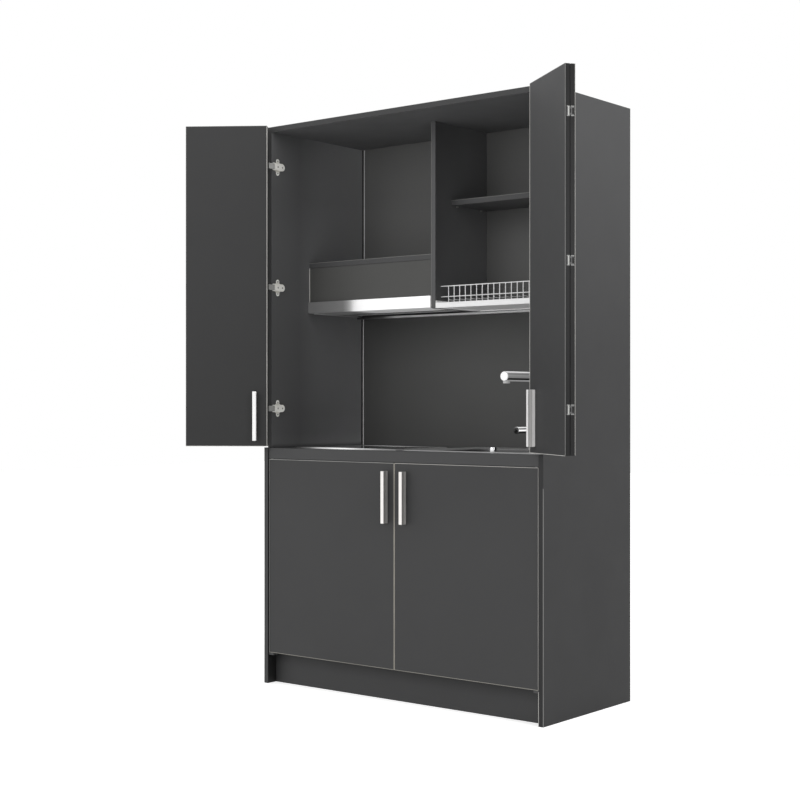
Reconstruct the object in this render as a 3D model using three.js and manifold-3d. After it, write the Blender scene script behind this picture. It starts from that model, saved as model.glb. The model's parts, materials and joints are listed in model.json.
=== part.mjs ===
// Kitchenette unit with sink, two-zone hob, cooker hood and dish rack, behind two folding
// door pairs. Millimetres, +X right, +Y to the back, +Z up. The origin is on the floor, in
// the middle of the plinth board's foot. The unit stands as photographed: lower doors shut,
// both upper door pairs swung open and folded back to back.

import * as THREE from "three";
import { mergeVertices } from "three/addons/utils/BufferGeometryUtils.js";
import Module from "manifold-3d";

const wasm = await Module();
wasm.setup();

// ---------------------------------------------------------------- driving dimensions

// carcass
const unitWidth = 1200;
const unitHeight = 2005;
const unitDepth = 533;
const boardThickness = 18;
const backThickness = 6;
const plinthHeight = 108;
const plinthSetback = 43;
const sideStepHeight = 848.5;
const upperSetback = 19;

// worktop and the cupboard under it
const worktopTop = 847;
const worktopThickness = 38;
const frontRecess = 4;
const doorBackClearance = 5;

// niche and upper cupboard
const nicheThickness = 6;
const upperHeight = 667;
const innerSetback = 220;

// upper folding doors
const leafThickness = 15;
const leafBackGap = 3;
const leafReveal = 9;
const leafBottom = 854;
const leafTopGap = 3;
const centreGap = 3;
const leafEdgeGap = 2;
const foldGap = 2.5;
const openAngle = THREE.MathUtils.degToRad(144.3);
const openInward = 25;
const openForward = 27.1;

// hinges of the folding doors
const hingeFromBottom = 135;
const hingeFromTop = 139;
const hingeHalfHeight = 10;
const lugThickness = 2.6;
const lugGap = 0.4;
const pinRadius = 1.4;
const pinGap = 0.4;
const armBarrelRadius = 2.8;
const leafBarrelRadius = 2.4;
const armPlate = 1.4;
const armPivotBehindFront = 2;
const leafPivotOutside = 4.6;
const leafPivotInside = 3.2;
const foldKnuckleRadius = 2.4;
const foldPinRadius = 1.2;
const foldKnuckleHalf = 5.8;
const foldHingeHalf = 12;
const foldPlate = 0.7;
const foldPlateWidth = 8.6;
const armNeckHalf = 1.5;
const armEndHalf = 1;
const lugHalfWidth = 3.2;
const lugBack = 16;
const lugWebFront = 7;
const bracketFront = 10;
const bracketLength = 50;
const bracketHalfHeight = 13;
const crossPlate = 1.5;
const crossSetback = 25;
const crossHalfDepth = 20;
const crossBarHalf = 18;
const crossPostHalf = 8;
const crossHalfHeight = 30;
const notchDepth = 1.9;
const notchWidth = 2.2;
const notchGap = 0.6;

// lower doors
const lowerDoorThickness = 18;
const lowerDoorBottom = 112;
const lowerDoorTopGap = 2.5;
const lowerDoorSideGap = 3;
const pivotFromEdge = 10;
const pivotFromFront = 6;
const pivotRadius = 4;
const pivotDepth = 9;
const earDepth = 8;
const earGap = 1.5;
const earReach = 9;
const earSetback = 1;
const fitGap = 0.3;

// handles
const handleLength = 176;
const handleWidth = 13;
const handleProjection = 25;
const handleFlange = 3;
const handleFoot = 10.4;
const handleWeb = 5;
const upperHandleInset = 43;
const upperHandleRise = 20;
const leftLowerHandleInset = 32.5;
const rightLowerHandleInset = 46;
const lowerHandleDrop = 27;

// hood; rises are counted from the upper cupboard's floor
const hoodShelfRise = 189;
const hoodFasciaSetback = 3;
const hoodFasciaThickness = 16;
const visorTopRise = 44;
const visorBottomRise = 3;
const visorProud = 6;
const visorBar = 14;
const visorPlate = 3;
const visorDepth = 150;
const visorSideGap = 1;
const runnerLip = 8;
const runnerThickness = 2.1;
const casingWall = 2;
const casingGap = 4;
const casingDepth = 250;
const filterThickness = 8;
const fanRadius = 75;
const fanHeight = 60;
const fanHubRadius = 15;
const fanPlate = 3;
const fanBlade = 2;
const fanBlades = 10;
const fanDrop = 8;
const fanNut = 6;
const fanNutRadius = 10;
const shaftRadius = 5;

// shelf and dish rack of the right compartment
const dishShelfRise = 383;
const dishShelfSetback = 93;
const rackGap = 1;
const trayHeight = 18;
const traySheet = 1.5;
const trayDepth = 250;
const railHeight = 26;
const railThickness = 3;
const railLip = 8;
const basketSetback = 33;
const basketTopRise = 79;
const basketMiddleRise = 42;
const basketFloorRise = 28;
const basketDepth = 200;
const basketFeet = [60, 150];
const railStandoff = 1.8;
const railDrop = 0.5;
const wire = 3;
const wirePitch = 24;
const firstWire = 30;

// sink
const sinkCentreX = 272;
const sinkWidth = 570;
const sinkFront = 60.5;
const sinkDepth = 420;
const rimHeight = 3;
const rimOverlap = 10;
const rimCorner = 20;
const ledgeMargin = 9;
const ledgeDrop = 1.2;
const ledgeCorner = 14;
const sinkSheet = 2;
const bowlWidth = 360;
const bowlDepth = 300;
const bowlHeight = 150;
const bowlCorner = 55;
const bowlFromFront = 35;
const drainRadius = 42;
const drainLip = 3;
const drainDrop = 30;
const seatRise = 8;
const wasteRadius = 20;
const wasteWall = 2;
const wasteTail = 26;
const plugRadius = 38;
const plugWall = 3;
const plugFloor = 9;
const plugHeight = 24;
const plugChamfer = 6;
const knobNeck = 7;
const knobRadius = 10;
const knobCrown = 5;
const knobHeight = 33;
const trapRadius = 30;
const trapHeight = 80;
const trapWall = 3;
const trapCap = 4;
const trapSocket = 12;
const outletRadius = 16;
const outletDrop = 22;
const wasteKnobFromRight = 205;
const wasteKnobFromFront = 21;
const wasteKnobRadius = 12.5;
const wasteKnobHeight = 17;

// tap
const tapX = 280;
const tapFromSinkBack = 49;
const tapHole = 17;
const tapFlangeRadius = 26;
const tapFlangeHeight = 6;
const tapFlangeBevel = 2.5;
const tapTailRadius = 14;
const columnRadius = 15;
const columnStep = 2;
const collarRadius = 20;
const collarHeight = 30;
const leverHeight = 68;
const leverRadius = 12;
const leverReach = 105;
const leverTipRadius = 5;
const leverTip = 20;
const spoutHeight = 252;
const spoutRadius = 17;
const spoutReach = 185;
const spoutSpigotRadius = 9;
const spoutSleeve = 50;
const aeratorRadius = 12;
const aeratorFromTip = 15;
const aeratorDrop = 3;
const tapTail = 60;

// hob
const hobWidth = 470;
const hobDepth = 290;
const hobFromLeft = 105;
const hobFront = 45;
const hobPlate = 5;
const hobOverlap = 12;
const hobHousing = 46;
const hobWall = 2;
const hobHousingGap = 2;
const hobCorner = 6;

// sides of round pieces, and how far a cutting shape runs past the faces that it cuts
const round = 24;
const medium = 16;
const small = 12;
const past = 1;

// ---------------------------------------------------------------- places worked out

const halfWidth = unitWidth / 2;
const frontY = -plinthSetback - boardThickness / 2;
const backY = frontY + unitDepth;
const upperFrontY = frontY + upperSetback;
const innerX = halfWidth - boardThickness;
const innerFrontY = frontY + innerSetback;
const backPanelY = backY - backThickness;
const topUnderside = unitHeight - boardThickness;
const upperFloor = unitHeight - upperHeight;
const worktopBottom = worktopTop - worktopThickness;
const lowerFrontY = frontY + frontRecess;
const baseTop = plinthHeight + boardThickness;
const nicheY = backPanelY - nicheThickness;
const halfBoard = boardThickness / 2;

// ---------------------------------------------------------------- materials

const finish = (color, roughness, metalness) =>
  new THREE.MeshStandardMaterial({ color, roughness, metalness });
const melamine = () => finish(0x48494b, 0.6, 0);
const worktopFace = () => finish(0x555759, 0.5, 0);
const steel = () => finish(0xc8cacc, 0.3, 1);
const chrome = () => finish(0xdddddd, 0.1, 1);
const glass = () => finish(0x101112, 0.08, 0);
const blackPlastic = () => finish(0x1c1c1d, 0.5, 0);
const whitePlastic = () => finish(0xd8d8d4, 0.5, 0);
const filterMesh = () => finish(0x55575a, 0.5, 0.8);

// ---------------------------------------------------------------- geometry helpers

const unit = new THREE.Group();

function toSolid(geometry) {
  const bare = geometry.clone();
  bare.deleteAttribute("normal");
  bare.deleteAttribute("uv");
  const merged = mergeVertices(bare, 1e-4);
  return new wasm.Manifold(new wasm.Mesh({
    numProp: 3,
    vertProperties: new Float32Array(merged.attributes.position.array),
    triVerts: new Uint32Array(merged.index.array),
  }));
}

function toGeometry(solid) {
  const mesh = solid.getMesh();
  const geometry = new THREE.BufferGeometry();
  geometry.setAttribute("position", new THREE.BufferAttribute(mesh.vertProperties, 3));
  geometry.setIndex(new THREE.BufferAttribute(mesh.triVerts, 1));
  geometry.computeVertexNormals();
  return geometry;
}

function join(...geometries) {
  return toGeometry(geometries.map(toSolid).reduce((a, b) => a.add(b)));
}

function cut(geometry, ...tools) {
  return toGeometry(tools.map(toSolid).reduce((a, b) => a.subtract(b), toSolid(geometry)));
}

function box(x0, x1, y0, y1, z0, z1) {
  const geometry = new THREE.BoxGeometry(Math.abs(x1 - x0), Math.abs(y1 - y0), Math.abs(z1 - z0));
  return geometry.translate((x0 + x1) / 2, (y0 + y1) / 2, (z0 + z1) / 2);
}

function rod(x, y, z0, z1, radius, sides = round) {
  const geometry = new THREE.CylinderGeometry(radius, radius, z1 - z0, sides);
  return geometry.rotateX(Math.PI / 2).translate(x, y, (z0 + z1) / 2);
}

function rodAlongY(x, z, y0, y1, radius, sides = round) {
  const geometry = new THREE.CylinderGeometry(radius, radius, y1 - y0, sides);
  return geometry.translate(x, (y0 + y1) / 2, z);
}

// an outline of [x, y] corners, raised from z0 to z1
function raised(outline, z0, z1) {
  const shape = new THREE.Shape(outline.map(([x, y]) => new THREE.Vector2(x, y)));
  const geometry = new THREE.ExtrudeGeometry(shape, { depth: z1 - z0, bevelEnabled: false });
  return geometry.translate(0, 0, z0);
}

// an outline of [y, z] corners, drawn out from x0 to x1
function drawnAlongX(outline, x0, x1) {
  const geometry = raised(outline, 0, x1 - x0);
  const swap = new THREE.Matrix4().set(0, 0, 1, x0, 1, 0, 0, 0, 0, 1, 0, 0, 0, 0, 0, 1);
  return geometry.applyMatrix4(swap);
}

function roundedBox(x0, x1, y0, y1, z0, z1, radius, steps = 6) {
  const shape = new THREE.Shape();
  shape.moveTo(x0 + radius, y0);
  shape.lineTo(x1 - radius, y0);
  shape.absarc(x1 - radius, y0 + radius, radius, -Math.PI / 2, 0);
  shape.lineTo(x1, y1 - radius);
  shape.absarc(x1 - radius, y1 - radius, radius, 0, Math.PI / 2);
  shape.lineTo(x0 + radius, y1);
  shape.absarc(x0 + radius, y1 - radius, radius, Math.PI / 2, Math.PI);
  shape.lineTo(x0, y0 + radius);
  shape.absarc(x0 + radius, y0 + radius, radius, Math.PI, 1.5 * Math.PI);
  const options = { depth: z1 - z0, bevelEnabled: false, curveSegments: steps };
  return new THREE.ExtrudeGeometry(shape, options).translate(0, 0, z0);
}

// a profile of [radius, z] points, turned round the Z axis
function turned(profile) {
  const points = profile.map(([radius, z]) => new THREE.Vector2(radius, z));
  return new THREE.LatheGeometry(points, round).rotateX(Math.PI / 2);
}

function addPiece(name, geometry, material, parent = unit) {
  const mesh = new THREE.Mesh(geometry, material);
  mesh.name = name;
  parent.add(mesh);
  return mesh;
}

const sides = [{ name: "left", s: -1 }, { name: "right", s: 1 }];

// ---------------------------------------------------------------- carcass

for (const { name, s } of sides) {
  const outline = [
    [frontY, 0], [backY, 0], [backY, unitHeight], [upperFrontY, unitHeight],
    [upperFrontY, sideStepHeight], [frontY, sideStepHeight],
  ];
  const x0 = Math.min(s * innerX, s * halfWidth);
  addPiece(`${name}_side_panel`, drawnAlongX(outline, x0, x0 + boardThickness), melamine());
}

addPiece("top_panel", box(-innerX, innerX, upperFrontY, backPanelY, topUnderside, unitHeight), melamine());
addPiece("back_panel", box(-innerX, innerX, backPanelY, backY, baseTop, unitHeight), melamine());
addPiece("niche_panel", box(-innerX, innerX, nicheY, backPanelY, worktopTop, upperFloor), melamine());

// the lower doors turn on pins, whose axes stand near the doors' outer front corners
const lowerPivotX = innerX - lowerDoorSideGap - pivotFromEdge;
const lowerPivotY = lowerFrontY + pivotFromFront;
const lowerDoorTop = worktopBottom - lowerDoorTopGap;
const doorBackY = lowerFrontY + lowerDoorThickness;
const baseFrontY = doorBackY + doorBackClearance;

// pivot ears carry the lower pins under the doors, and the plinth stands behind them
const earTop = lowerDoorBottom - earGap;
const earBottom = earTop - earDepth;
const baseBoard = box(-innerX, innerX, baseFrontY, backY, plinthHeight, baseTop);
const pivotEar = (s) => box(
  s * (lowerPivotX - earReach), s * innerX, lowerFrontY + earSetback, baseFrontY + past, earBottom, earTop,
);
const pivotBore = (s, z0, z1) => rod(s * lowerPivotX, lowerPivotY, z0, z1, pivotRadius + fitGap, medium);
addPiece("base_panel", cut(
  join(baseBoard, pivotEar(-1), pivotEar(1)),
  ...[-1, 1].map((s) => pivotBore(s, earBottom - past, earTop + past)),
), melamine());

const plinthY = frontY + plinthSetback;
addPiece("plinth_board", box(
  -innerX, innerX, plinthY, plinthY + boardThickness, 0, plinthHeight,
), melamine());

// ---------------------------------------------------------------- worktop

const sinkX0 = sinkCentreX - sinkWidth / 2;
const sinkX1 = sinkCentreX + sinkWidth / 2;
const sinkY0 = frontY + sinkFront;
const sinkY1 = sinkY0 + sinkDepth;
const hobX0 = -halfWidth + hobFromLeft;
const hobX1 = hobX0 + hobWidth;
const hobY0 = frontY + hobFront;
const hobY1 = hobY0 + hobDepth;
const tapY = sinkY1 - tapFromSinkBack;

const worktopBlank = box(-innerX, innerX, lowerFrontY, backPanelY, worktopBottom, worktopTop);
const sinkOpening = box(
  sinkX0 + rimOverlap, sinkX1 - rimOverlap, sinkY0 + rimOverlap, sinkY1 - rimOverlap,
  worktopBottom - past, worktopTop + past,
);
const hobOpening = box(
  hobX0 + hobOverlap, hobX1 - hobOverlap, hobY0 + hobOverlap, hobY1 - hobOverlap,
  worktopBottom - past, worktopTop + past,
);
addPiece("worktop", cut(
  worktopBlank, sinkOpening, hobOpening,
  ...[-1, 1].map((s) => pivotBore(s, worktopBottom - past, worktopBottom + pivotDepth)),
), worktopFace());

// ---------------------------------------------------------------- upper cupboard

addPiece("upper_partition", box(
  -halfBoard, halfBoard, innerFrontY, backPanelY, upperFloor, topUnderside,
), melamine());
const hoodShelfTop = upperFloor + hoodShelfRise;
const hoodShelfBottom = hoodShelfTop - boardThickness;
addPiece("hood_shelf", box(
  -innerX, -halfBoard, innerFrontY, backPanelY, hoodShelfBottom, hoodShelfTop,
), melamine());
const dishShelfTop = upperFloor + dishShelfRise;
addPiece("dish_shelf", box(
  halfBoard, innerX, innerFrontY + dishShelfSetback, backPanelY,
  dishShelfTop - boardThickness, dishShelfTop,
), melamine());

// ---------------------------------------------------------------- hood

const visorTop = upperFloor + visorTopRise;
const visorBottom = upperFloor + visorBottomRise;
const fasciaY = innerFrontY + hoodFasciaSetback;
addPiece("hood_fascia", box(
  -innerX, -halfBoard, fasciaY, fasciaY + hoodFasciaThickness, visorTop, hoodShelfBottom,
), melamine());

const casingX0 = -innerX + casingGap;
const casingX1 = -halfBoard - casingGap;

// the visor: a front bar with a flat plate behind it that slides in the casing's runners
const visorX0 = -innerX + visorSideGap;
const visorX1 = -halfBoard - visorSideGap;
const visorY = innerFrontY - visorProud;
const plateX0 = casingX0 + casingWall + fitGap;
const plateX1 = casingX1 - casingWall - fitGap;
const plateTop = visorBottom + visorPlate;
addPiece("hood_visor", join(
  box(visorX0, visorX1, visorY, visorY + visorBar, visorBottom, visorTop - fitGap),
  box(plateX0, plateX1, visorY + visorBar - past, visorY + visorDepth, visorBottom, plateTop),
), steel());

// the casing: an upturned tray hung under the hood shelf, with the fan's shaft on its roof
// and runners for the visor along its sides
const casingY0 = fasciaY + hoodFasciaThickness + casingGap;
const casingY1 = casingY0 + casingDepth;
const runnerTop = visorBottom - fitGap;
const runnerBottom = runnerTop - runnerThickness;
const mouthZ = plateTop + 2 * fitGap;
const filterBottom = plateTop + casingGap;
const fanX = (casingX0 + casingX1) / 2;
const fanY = (casingY0 + casingY1) / 2;
const fanTop = hoodShelfBottom - casingWall - fanDrop;
const casingBlank = box(casingX0, casingX1, casingY0, casingY1, runnerBottom, hoodShelfBottom);
const casingHollow = box(
  casingX0 + casingWall, casingX1 - casingWall, casingY0 + casingWall, casingY1 - casingWall,
  runnerBottom - past, hoodShelfBottom - casingWall,
);
const casingMouth = box(
  casingX0 + casingWall, casingX1 - casingWall, casingY0 - past, casingY1 + past,
  runnerBottom - past, mouthZ,
);
const runner = (x, inward) => box(
  x, x + inward * (casingWall + runnerLip), casingY0, casingY1, runnerBottom, runnerTop,
);
const fanBottom = fanTop - fanHeight;
const fanShaft = rod(fanX, fanY, fanBottom - past, hoodShelfBottom - past, shaftRadius, small);
const nutSides = 6;
const shaftNut = rod(fanX, fanY, fanBottom - fanNut, fanBottom - fitGap, fanNutRadius, nutSides);
addPiece("hood_casing", join(
  cut(casingBlank, casingHollow, casingMouth),
  runner(casingX0, 1), runner(casingX1, -1), fanShaft, shaftNut,
), steel());

// the filter closes the casing's mouth, between its walls
addPiece("hood_filter", box(
  casingX0 + casingWall + fitGap, casingX1 - casingWall - fitGap,
  casingY0 + casingWall + fitGap, casingY1 - casingWall - fitGap,
  filterBottom, filterBottom + filterThickness,
), filterMesh());

function makeFan() {
  const hub = rod(0, 0, -fanHeight, 0, fanHubRadius);
  const plate = rod(0, 0, -fanPlate, 0, fanRadius);
  const blades = Array.from({ length: fanBlades }, (_, i) => {
    const blade = box(
      fanHubRadius - fanPlate, fanRadius, -fanBlade / 2, fanBlade / 2, -fanHeight, -past,
    );
    return blade.rotateZ((2 * Math.PI * i) / fanBlades);
  });
  const bore = rod(0, 0, -fanHeight - past, past, shaftRadius + fitGap, small);
  return cut(join(hub, plate, ...blades), bore);
}
addPiece("hood_fan", makeFan(), blackPlastic()).position.set(fanX, fanY, fanTop);

// ---------------------------------------------------------------- dish rack

const trayX0 = halfBoard + railThickness + rackGap;
const trayX1 = innerX - railThickness - rackGap;
const trayBottom = upperFloor;
const trayTop = trayBottom + trayHeight;

// the drip tray: its steel front covers the ends of the rails
const trayFloor = trayBottom + railThickness + fitGap;
const trayY0 = innerFrontY + traySheet - fitGap;
const trayY1 = innerFrontY + trayDepth;
const trayBox = box(trayX0, trayX1, trayY0, trayY1, trayFloor, trayTop);
const trayHollow = box(
  trayX0 + traySheet, trayX1 - traySheet, trayY0 + traySheet, trayY1 - traySheet,
  trayFloor + traySheet, trayTop + past,
);
const trayFront = box(
  halfBoard + rackGap, innerX - rackGap, innerFrontY, innerFrontY + traySheet, trayBottom, trayTop,
);
addPiece("drip_tray", join(cut(trayBox, trayHollow), trayFront), steel());

// the rack frame: two side rails with lips under the tray, joined at the back
const railY0 = innerFrontY + traySheet + fitGap;
const railY1 = innerFrontY + trayDepth + rackGap + railThickness;
const rail = (s) => {
  const wallX = s < 0 ? halfBoard : innerX;
  const inward = -s;
  const span = (near, far) => [wallX + inward * near, wallX + inward * far].sort((a, b) => a - b);
  const [w0, w1] = span(0, railThickness);
  const [l0, l1] = span(0, railThickness + railLip);
  return join(
    box(w0, w1, railY0, railY1, upperFloor, upperFloor + railHeight),
    box(l0, l1, railY0, railY1, upperFloor, upperFloor + railThickness),
  );
};
const backRail = box(
  halfBoard, innerX, railY1 - railThickness, railY1, upperFloor, upperFloor + railHeight,
);
addPiece("rack_frame", join(rail(-1), rail(1), backRail), steel());

// the plate basket: U-shaped wires on long rails, standing on the rack frame
function makeBasket() {
  const front = innerFrontY + basketSetback;
  const back = front + basketDepth;
  const basketTop = upperFloor + basketTopRise;
  const basketMiddle = upperFloor + basketMiddleRise;
  const basketFloor = upperFloor + basketFloorRise;
  const x0 = halfBoard + rackGap;
  const x1 = innerX - rackGap;
  const count = Math.floor((x1 - x0 - 2 * firstWire) / wirePitch) + 1;
  const outline = [
    [front, basketTop], [front, basketFloor], [back, basketFloor], [back, basketTop],
    [back - wire, basketTop], [back - wire, basketFloor + wire],
    [front + wire, basketFloor + wire], [front + wire, basketTop],
  ];
  const bents = Array.from({ length: count }, (_, i) => {
    const x = halfBoard + firstWire + i * wirePitch;
    return drawnAlongX(outline, x, x + wire);
  });
  const longRail = (y, z) => box(x0, x1, y, y + wire, z - wire, z);
  const rails = [
    longRail(front - railStandoff, basketTop - railDrop),
    longRail(front - railStandoff, basketMiddle),
    longRail(back - railStandoff, basketTop - railDrop),
  ];
  const feet = basketFeet.map((y) => box(
    x0, x1, front + y, front + y + wire, upperFloor + railHeight, basketFloor + past,
  ));
  return join(...bents, ...rails, ...feet);
}
addPiece("plate_basket", makeBasket(), steel());

// ---------------------------------------------------------------- sink

const bowlX0 = sinkCentreX - bowlWidth / 2;
const bowlX1 = sinkCentreX + bowlWidth / 2;
const bowlY0 = sinkY0 + bowlFromFront;
const bowlY1 = bowlY0 + bowlDepth;
const rimTop = worktopTop + rimHeight;
const bowlBottom = rimTop - bowlHeight;
const drainX = sinkCentreX;
const drainY = (bowlY0 + bowlY1) / 2;

const sinkTopFace = rimTop - ledgeDrop;

const sinkRim = roundedBox(sinkX0, sinkX1, sinkY0, sinkY1, worktopTop, rimTop, rimCorner, 4);
const bowlOuter = roundedBox(
  bowlX0 - sinkSheet, bowlX1 + sinkSheet, bowlY0 - sinkSheet, bowlY1 + sinkSheet,
  bowlBottom - sinkSheet, sinkTopFace, bowlCorner + sinkSheet,
);
const bowlInner = roundedBox(bowlX0, bowlX1, bowlY0, bowlY1, bowlBottom, rimTop + past, bowlCorner);
const sinkSunk = roundedBox(
  sinkX0 + ledgeMargin, sinkX1 - ledgeMargin, sinkY0 + ledgeMargin, sinkY1 - ledgeMargin,
  sinkTopFace, rimTop + past, ledgeCorner, 4,
);
// the waste's control knob stands on the front ledge
const wasteKnob = rod(
  sinkX1 - wasteKnobFromRight, sinkY0 + wasteKnobFromFront,
  worktopTop, sinkTopFace + wasteKnobHeight, wasteKnobRadius,
);
addPiece("sink_bowl", join(cut(
  join(sinkRim, bowlOuter), bowlInner, sinkSunk,
  rod(drainX, drainY, bowlBottom - sinkSheet - past, bowlBottom + past, drainRadius - drainLip),
  rod(tapX, tapY, worktopTop - past, rimTop + past, tapHole),
), wasteKnob), steel());

// the waste: a cup under the drain hole with its tail pipe
const wasteTop = bowlBottom - sinkSheet;
const throatZ = wasteTop - drainDrop;
const plugSeat = throatZ + seatRise;
const pipeEnd = throatZ - wasteTail;
const wasteBore = wasteRadius - wasteWall;
const wasteProfile = [
  [wasteBore, pipeEnd], [wasteRadius, pipeEnd], [wasteRadius, throatZ - wasteWall],
  [drainRadius, plugSeat - wasteWall], [drainRadius, wasteTop], [drainRadius - drainLip, wasteTop],
  [drainRadius - drainLip, plugSeat], [wasteBore, throatZ], [wasteBore, pipeEnd],
];
addPiece("sink_waste", turned(wasteProfile), steel()).position.set(drainX, drainY, 0);

// the plug drops into the waste and lifts by its knob
const plugProfile = [
  [0, plugSeat + fitGap], [plugRadius - plugChamfer, plugSeat + fitGap],
  [plugRadius, plugSeat + plugFloor], [plugRadius, plugSeat + plugHeight],
  [plugRadius - plugWall, plugSeat + plugHeight], [plugRadius - plugWall, plugSeat + plugFloor + past],
  [knobNeck, plugSeat + plugFloor], [knobNeck, plugSeat + plugHeight],
  [knobRadius, plugSeat + knobHeight - knobCrown], [knobNeck, plugSeat + knobHeight],
  [0, plugSeat + knobHeight],
];
addPiece("sink_plug", turned(plugProfile), steel()).position.set(drainX, drainY, 0);

// the trap: a bottle under the waste and an outlet pipe to the back
const bottleTop = pipeEnd + trapSocket;
const bottleBottom = bottleTop - trapHeight;
const outletZ = bottleTop - outletDrop;
const bottle = rod(drainX, drainY, bottleBottom, bottleTop, trapRadius);
const bottleHollow = rod(
  drainX, drainY, bottleBottom + trapWall, bottleTop - trapCap, trapRadius - trapWall,
);
const pipeSocket = rod(
  drainX, drainY, bottleTop - trapCap - past, bottleTop + past, wasteRadius + fitGap,
);
const outlet = rodAlongY(drainX, outletZ, drainY, backPanelY - fitGap, outletRadius, medium);
const outletBore = rodAlongY(
  drainX, outletZ, drainY, backPanelY + past, outletRadius - trapWall, medium,
);
addPiece("waste_trap", cut(
  join(bottle, outlet), bottleHollow, pipeSocket, outletBore,
), whitePlastic());

// ---------------------------------------------------------------- tap

const leverZ = worktopTop + leverHeight;
const spoutZ = worktopTop + spoutHeight;
const collarZ0 = leverZ - collarHeight / 2;
const spoutZ0 = spoutZ + spoutRadius - spoutSleeve;
const stepRadius = columnRadius + columnStep;
const flangeTop = sinkTopFace + tapFlangeHeight;
const spigotTop = spoutZ0 + spoutSleeve / 2;

// the body stands on the sink's ledge, with its threaded tail and nut below the hole
const bodyProfile = [
  [0, worktopTop - tapTail], [tapTailRadius, worktopTop - tapTail],
  [tapTailRadius, sinkTopFace], [tapFlangeRadius, sinkTopFace],
  [tapFlangeRadius, flangeTop - tapFlangeBevel], [tapFlangeRadius - tapFlangeBevel, flangeTop],
  [stepRadius, flangeTop], [stepRadius, collarZ0 - fitGap],
  [columnRadius, collarZ0 - fitGap], [columnRadius, spoutZ0 - fitGap],
  [spoutSpigotRadius, spoutZ0 - fitGap], [spoutSpigotRadius, spigotTop], [0, spigotTop],
];
addPiece("tap_body", turned(bodyProfile), chrome()).position.set(tapX, tapY, 0);

// the lever's collar turns round the column, and its arm ends in a thin pin
const leverTipY = tapY - leverReach - leverTip;
addPiece("tap_lever", cut(
  join(
    rod(tapX, tapY, collarZ0, collarZ0 + collarHeight, collarRadius),
    rodAlongY(tapX, leverZ, tapY - leverReach, tapY - stepRadius, leverRadius, medium),
    rodAlongY(tapX, leverZ, leverTipY, leverTipY + leverTip + past, leverTipRadius, small),
  ),
  rod(tapX, tapY, collarZ0 - past, collarZ0 + collarHeight + past, columnRadius + fitGap),
), chrome());

const tipY = tapY - spoutReach;
addPiece("tap_spout", cut(
  join(
    rod(tapX, tapY, spoutZ0, spoutZ + spoutRadius, columnRadius),
    rodAlongY(tapX, spoutZ, tipY, tapY, spoutRadius),
    rod(tapX, tipY + aeratorFromTip, spoutZ - spoutRadius - aeratorDrop, spoutZ, aeratorRadius),
  ),
  rod(tapX, tapY, spoutZ0 - past, spigotTop + past, spoutSpigotRadius + fitGap),
), chrome());

// ---------------------------------------------------------------- hob

addPiece("hob_plate", roundedBox(
  hobX0, hobX1, hobY0, hobY1, worktopTop, worktopTop + hobPlate, hobCorner, 3,
), glass());
const housingInset = hobOverlap + hobHousingGap;
const housingX0 = hobX0 + housingInset;
const housingX1 = hobX1 - housingInset;
const housingY0 = hobY0 + housingInset;
const housingY1 = hobY1 - housingInset;
addPiece("hob_housing", cut(
  box(housingX0, housingX1, housingY0, housingY1, worktopTop - hobHousing, worktopTop),
  box(housingX0 + hobWall, housingX1 - hobWall, housingY0 + hobWall, housingY1 - hobWall,
    worktopTop - hobHousing + hobWall, worktopTop + past),
), blackPlastic());

// ---------------------------------------------------------------- handles

// a bar of I section, standing on its back flange; front faces -Y, length along Z
function makeHandle() {
  const w = handleWidth / 2;
  const web = handleWeb / 2;
  const foot = handleFoot / 2;
  return raised([
    [-w, -handleProjection], [w, -handleProjection], [w, -handleProjection + handleFlange],
    [web, -handleProjection + handleFlange], [web, -handleFlange], [foot, -handleFlange],
    [foot, 0], [-foot, 0], [-foot, -handleFlange], [-web, -handleFlange],
    [-web, -handleProjection + handleFlange], [-w, -handleProjection + handleFlange],
  ], 0, handleLength);
}

// ---------------------------------------------------------------- lower doors

const lowerHandleInset = { left: leftLowerHandleInset, right: rightLowerHandleInset };

for (const { name, s } of sides) {
  const outer = s * (innerX - lowerDoorSideGap);
  const inner = (s * centreGap) / 2;
  const board = box(outer, inner, lowerFrontY, doorBackY, lowerDoorBottom, lowerDoorTop);
  addPiece(`lower_${name}_door`, cut(
    board,
    pivotBore(s, lowerDoorBottom - past, lowerDoorBottom + pivotDepth),
    pivotBore(s, lowerDoorTop - pivotDepth, lowerDoorTop + past),
  ), melamine());
  const handle = addPiece(`lower_${name}_handle`, makeHandle(), steel());
  handle.position.set(
    s * lowerHandleInset[name], lowerFrontY, lowerDoorTop - lowerHandleDrop - handleLength,
  );
  const pin = (z0, z1) =>
    rod(s * lowerPivotX, lowerPivotY, z0 + fitGap, z1 - fitGap, pivotRadius, medium);
  addPiece(`lower_${name}_pin_bottom`, pin(earBottom, lowerDoorBottom + pivotDepth), steel());
  addPiece(`lower_${name}_pin_top`, pin(lowerDoorTop - pivotDepth, worktopBottom + pivotDepth), steel());
}

// ---------------------------------------------------------------- folding doors

// Plan places are given from the unit's outer upper corner: x inward, y to the back from the
// upper cupboard's front. The outer leaf turns on a short arm, and the arm turns on a
// bracket, so the open pair stands clear of the cupboard's edge.
const leafWidth = (halfWidth - leafReveal - centreGap / 2 - leafEdgeGap) / 2;
const leafTop = unitHeight - leafTopGap;
const lowHinge = leafBottom + hingeFromBottom;
const highHinge = leafTop - hingeFromTop;
const hingeHeights = [lowHinge, (lowHinge + highHinge) / 2, highHinge];
const along = { x: Math.cos(openAngle), y: -Math.sin(openAngle) };
const facing = { x: -Math.sin(openAngle), y: -Math.cos(openAngle) };

const shutPivot = { x: leafReveal - leafPivotOutside, y: -leafBackGap - leafPivotInside };
const openPivot = {
  x: openInward - leafPivotOutside * along.x + leafPivotInside * facing.x,
  y: -openForward - leafPivotOutside * along.y + leafPivotInside * facing.y,
};

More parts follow.
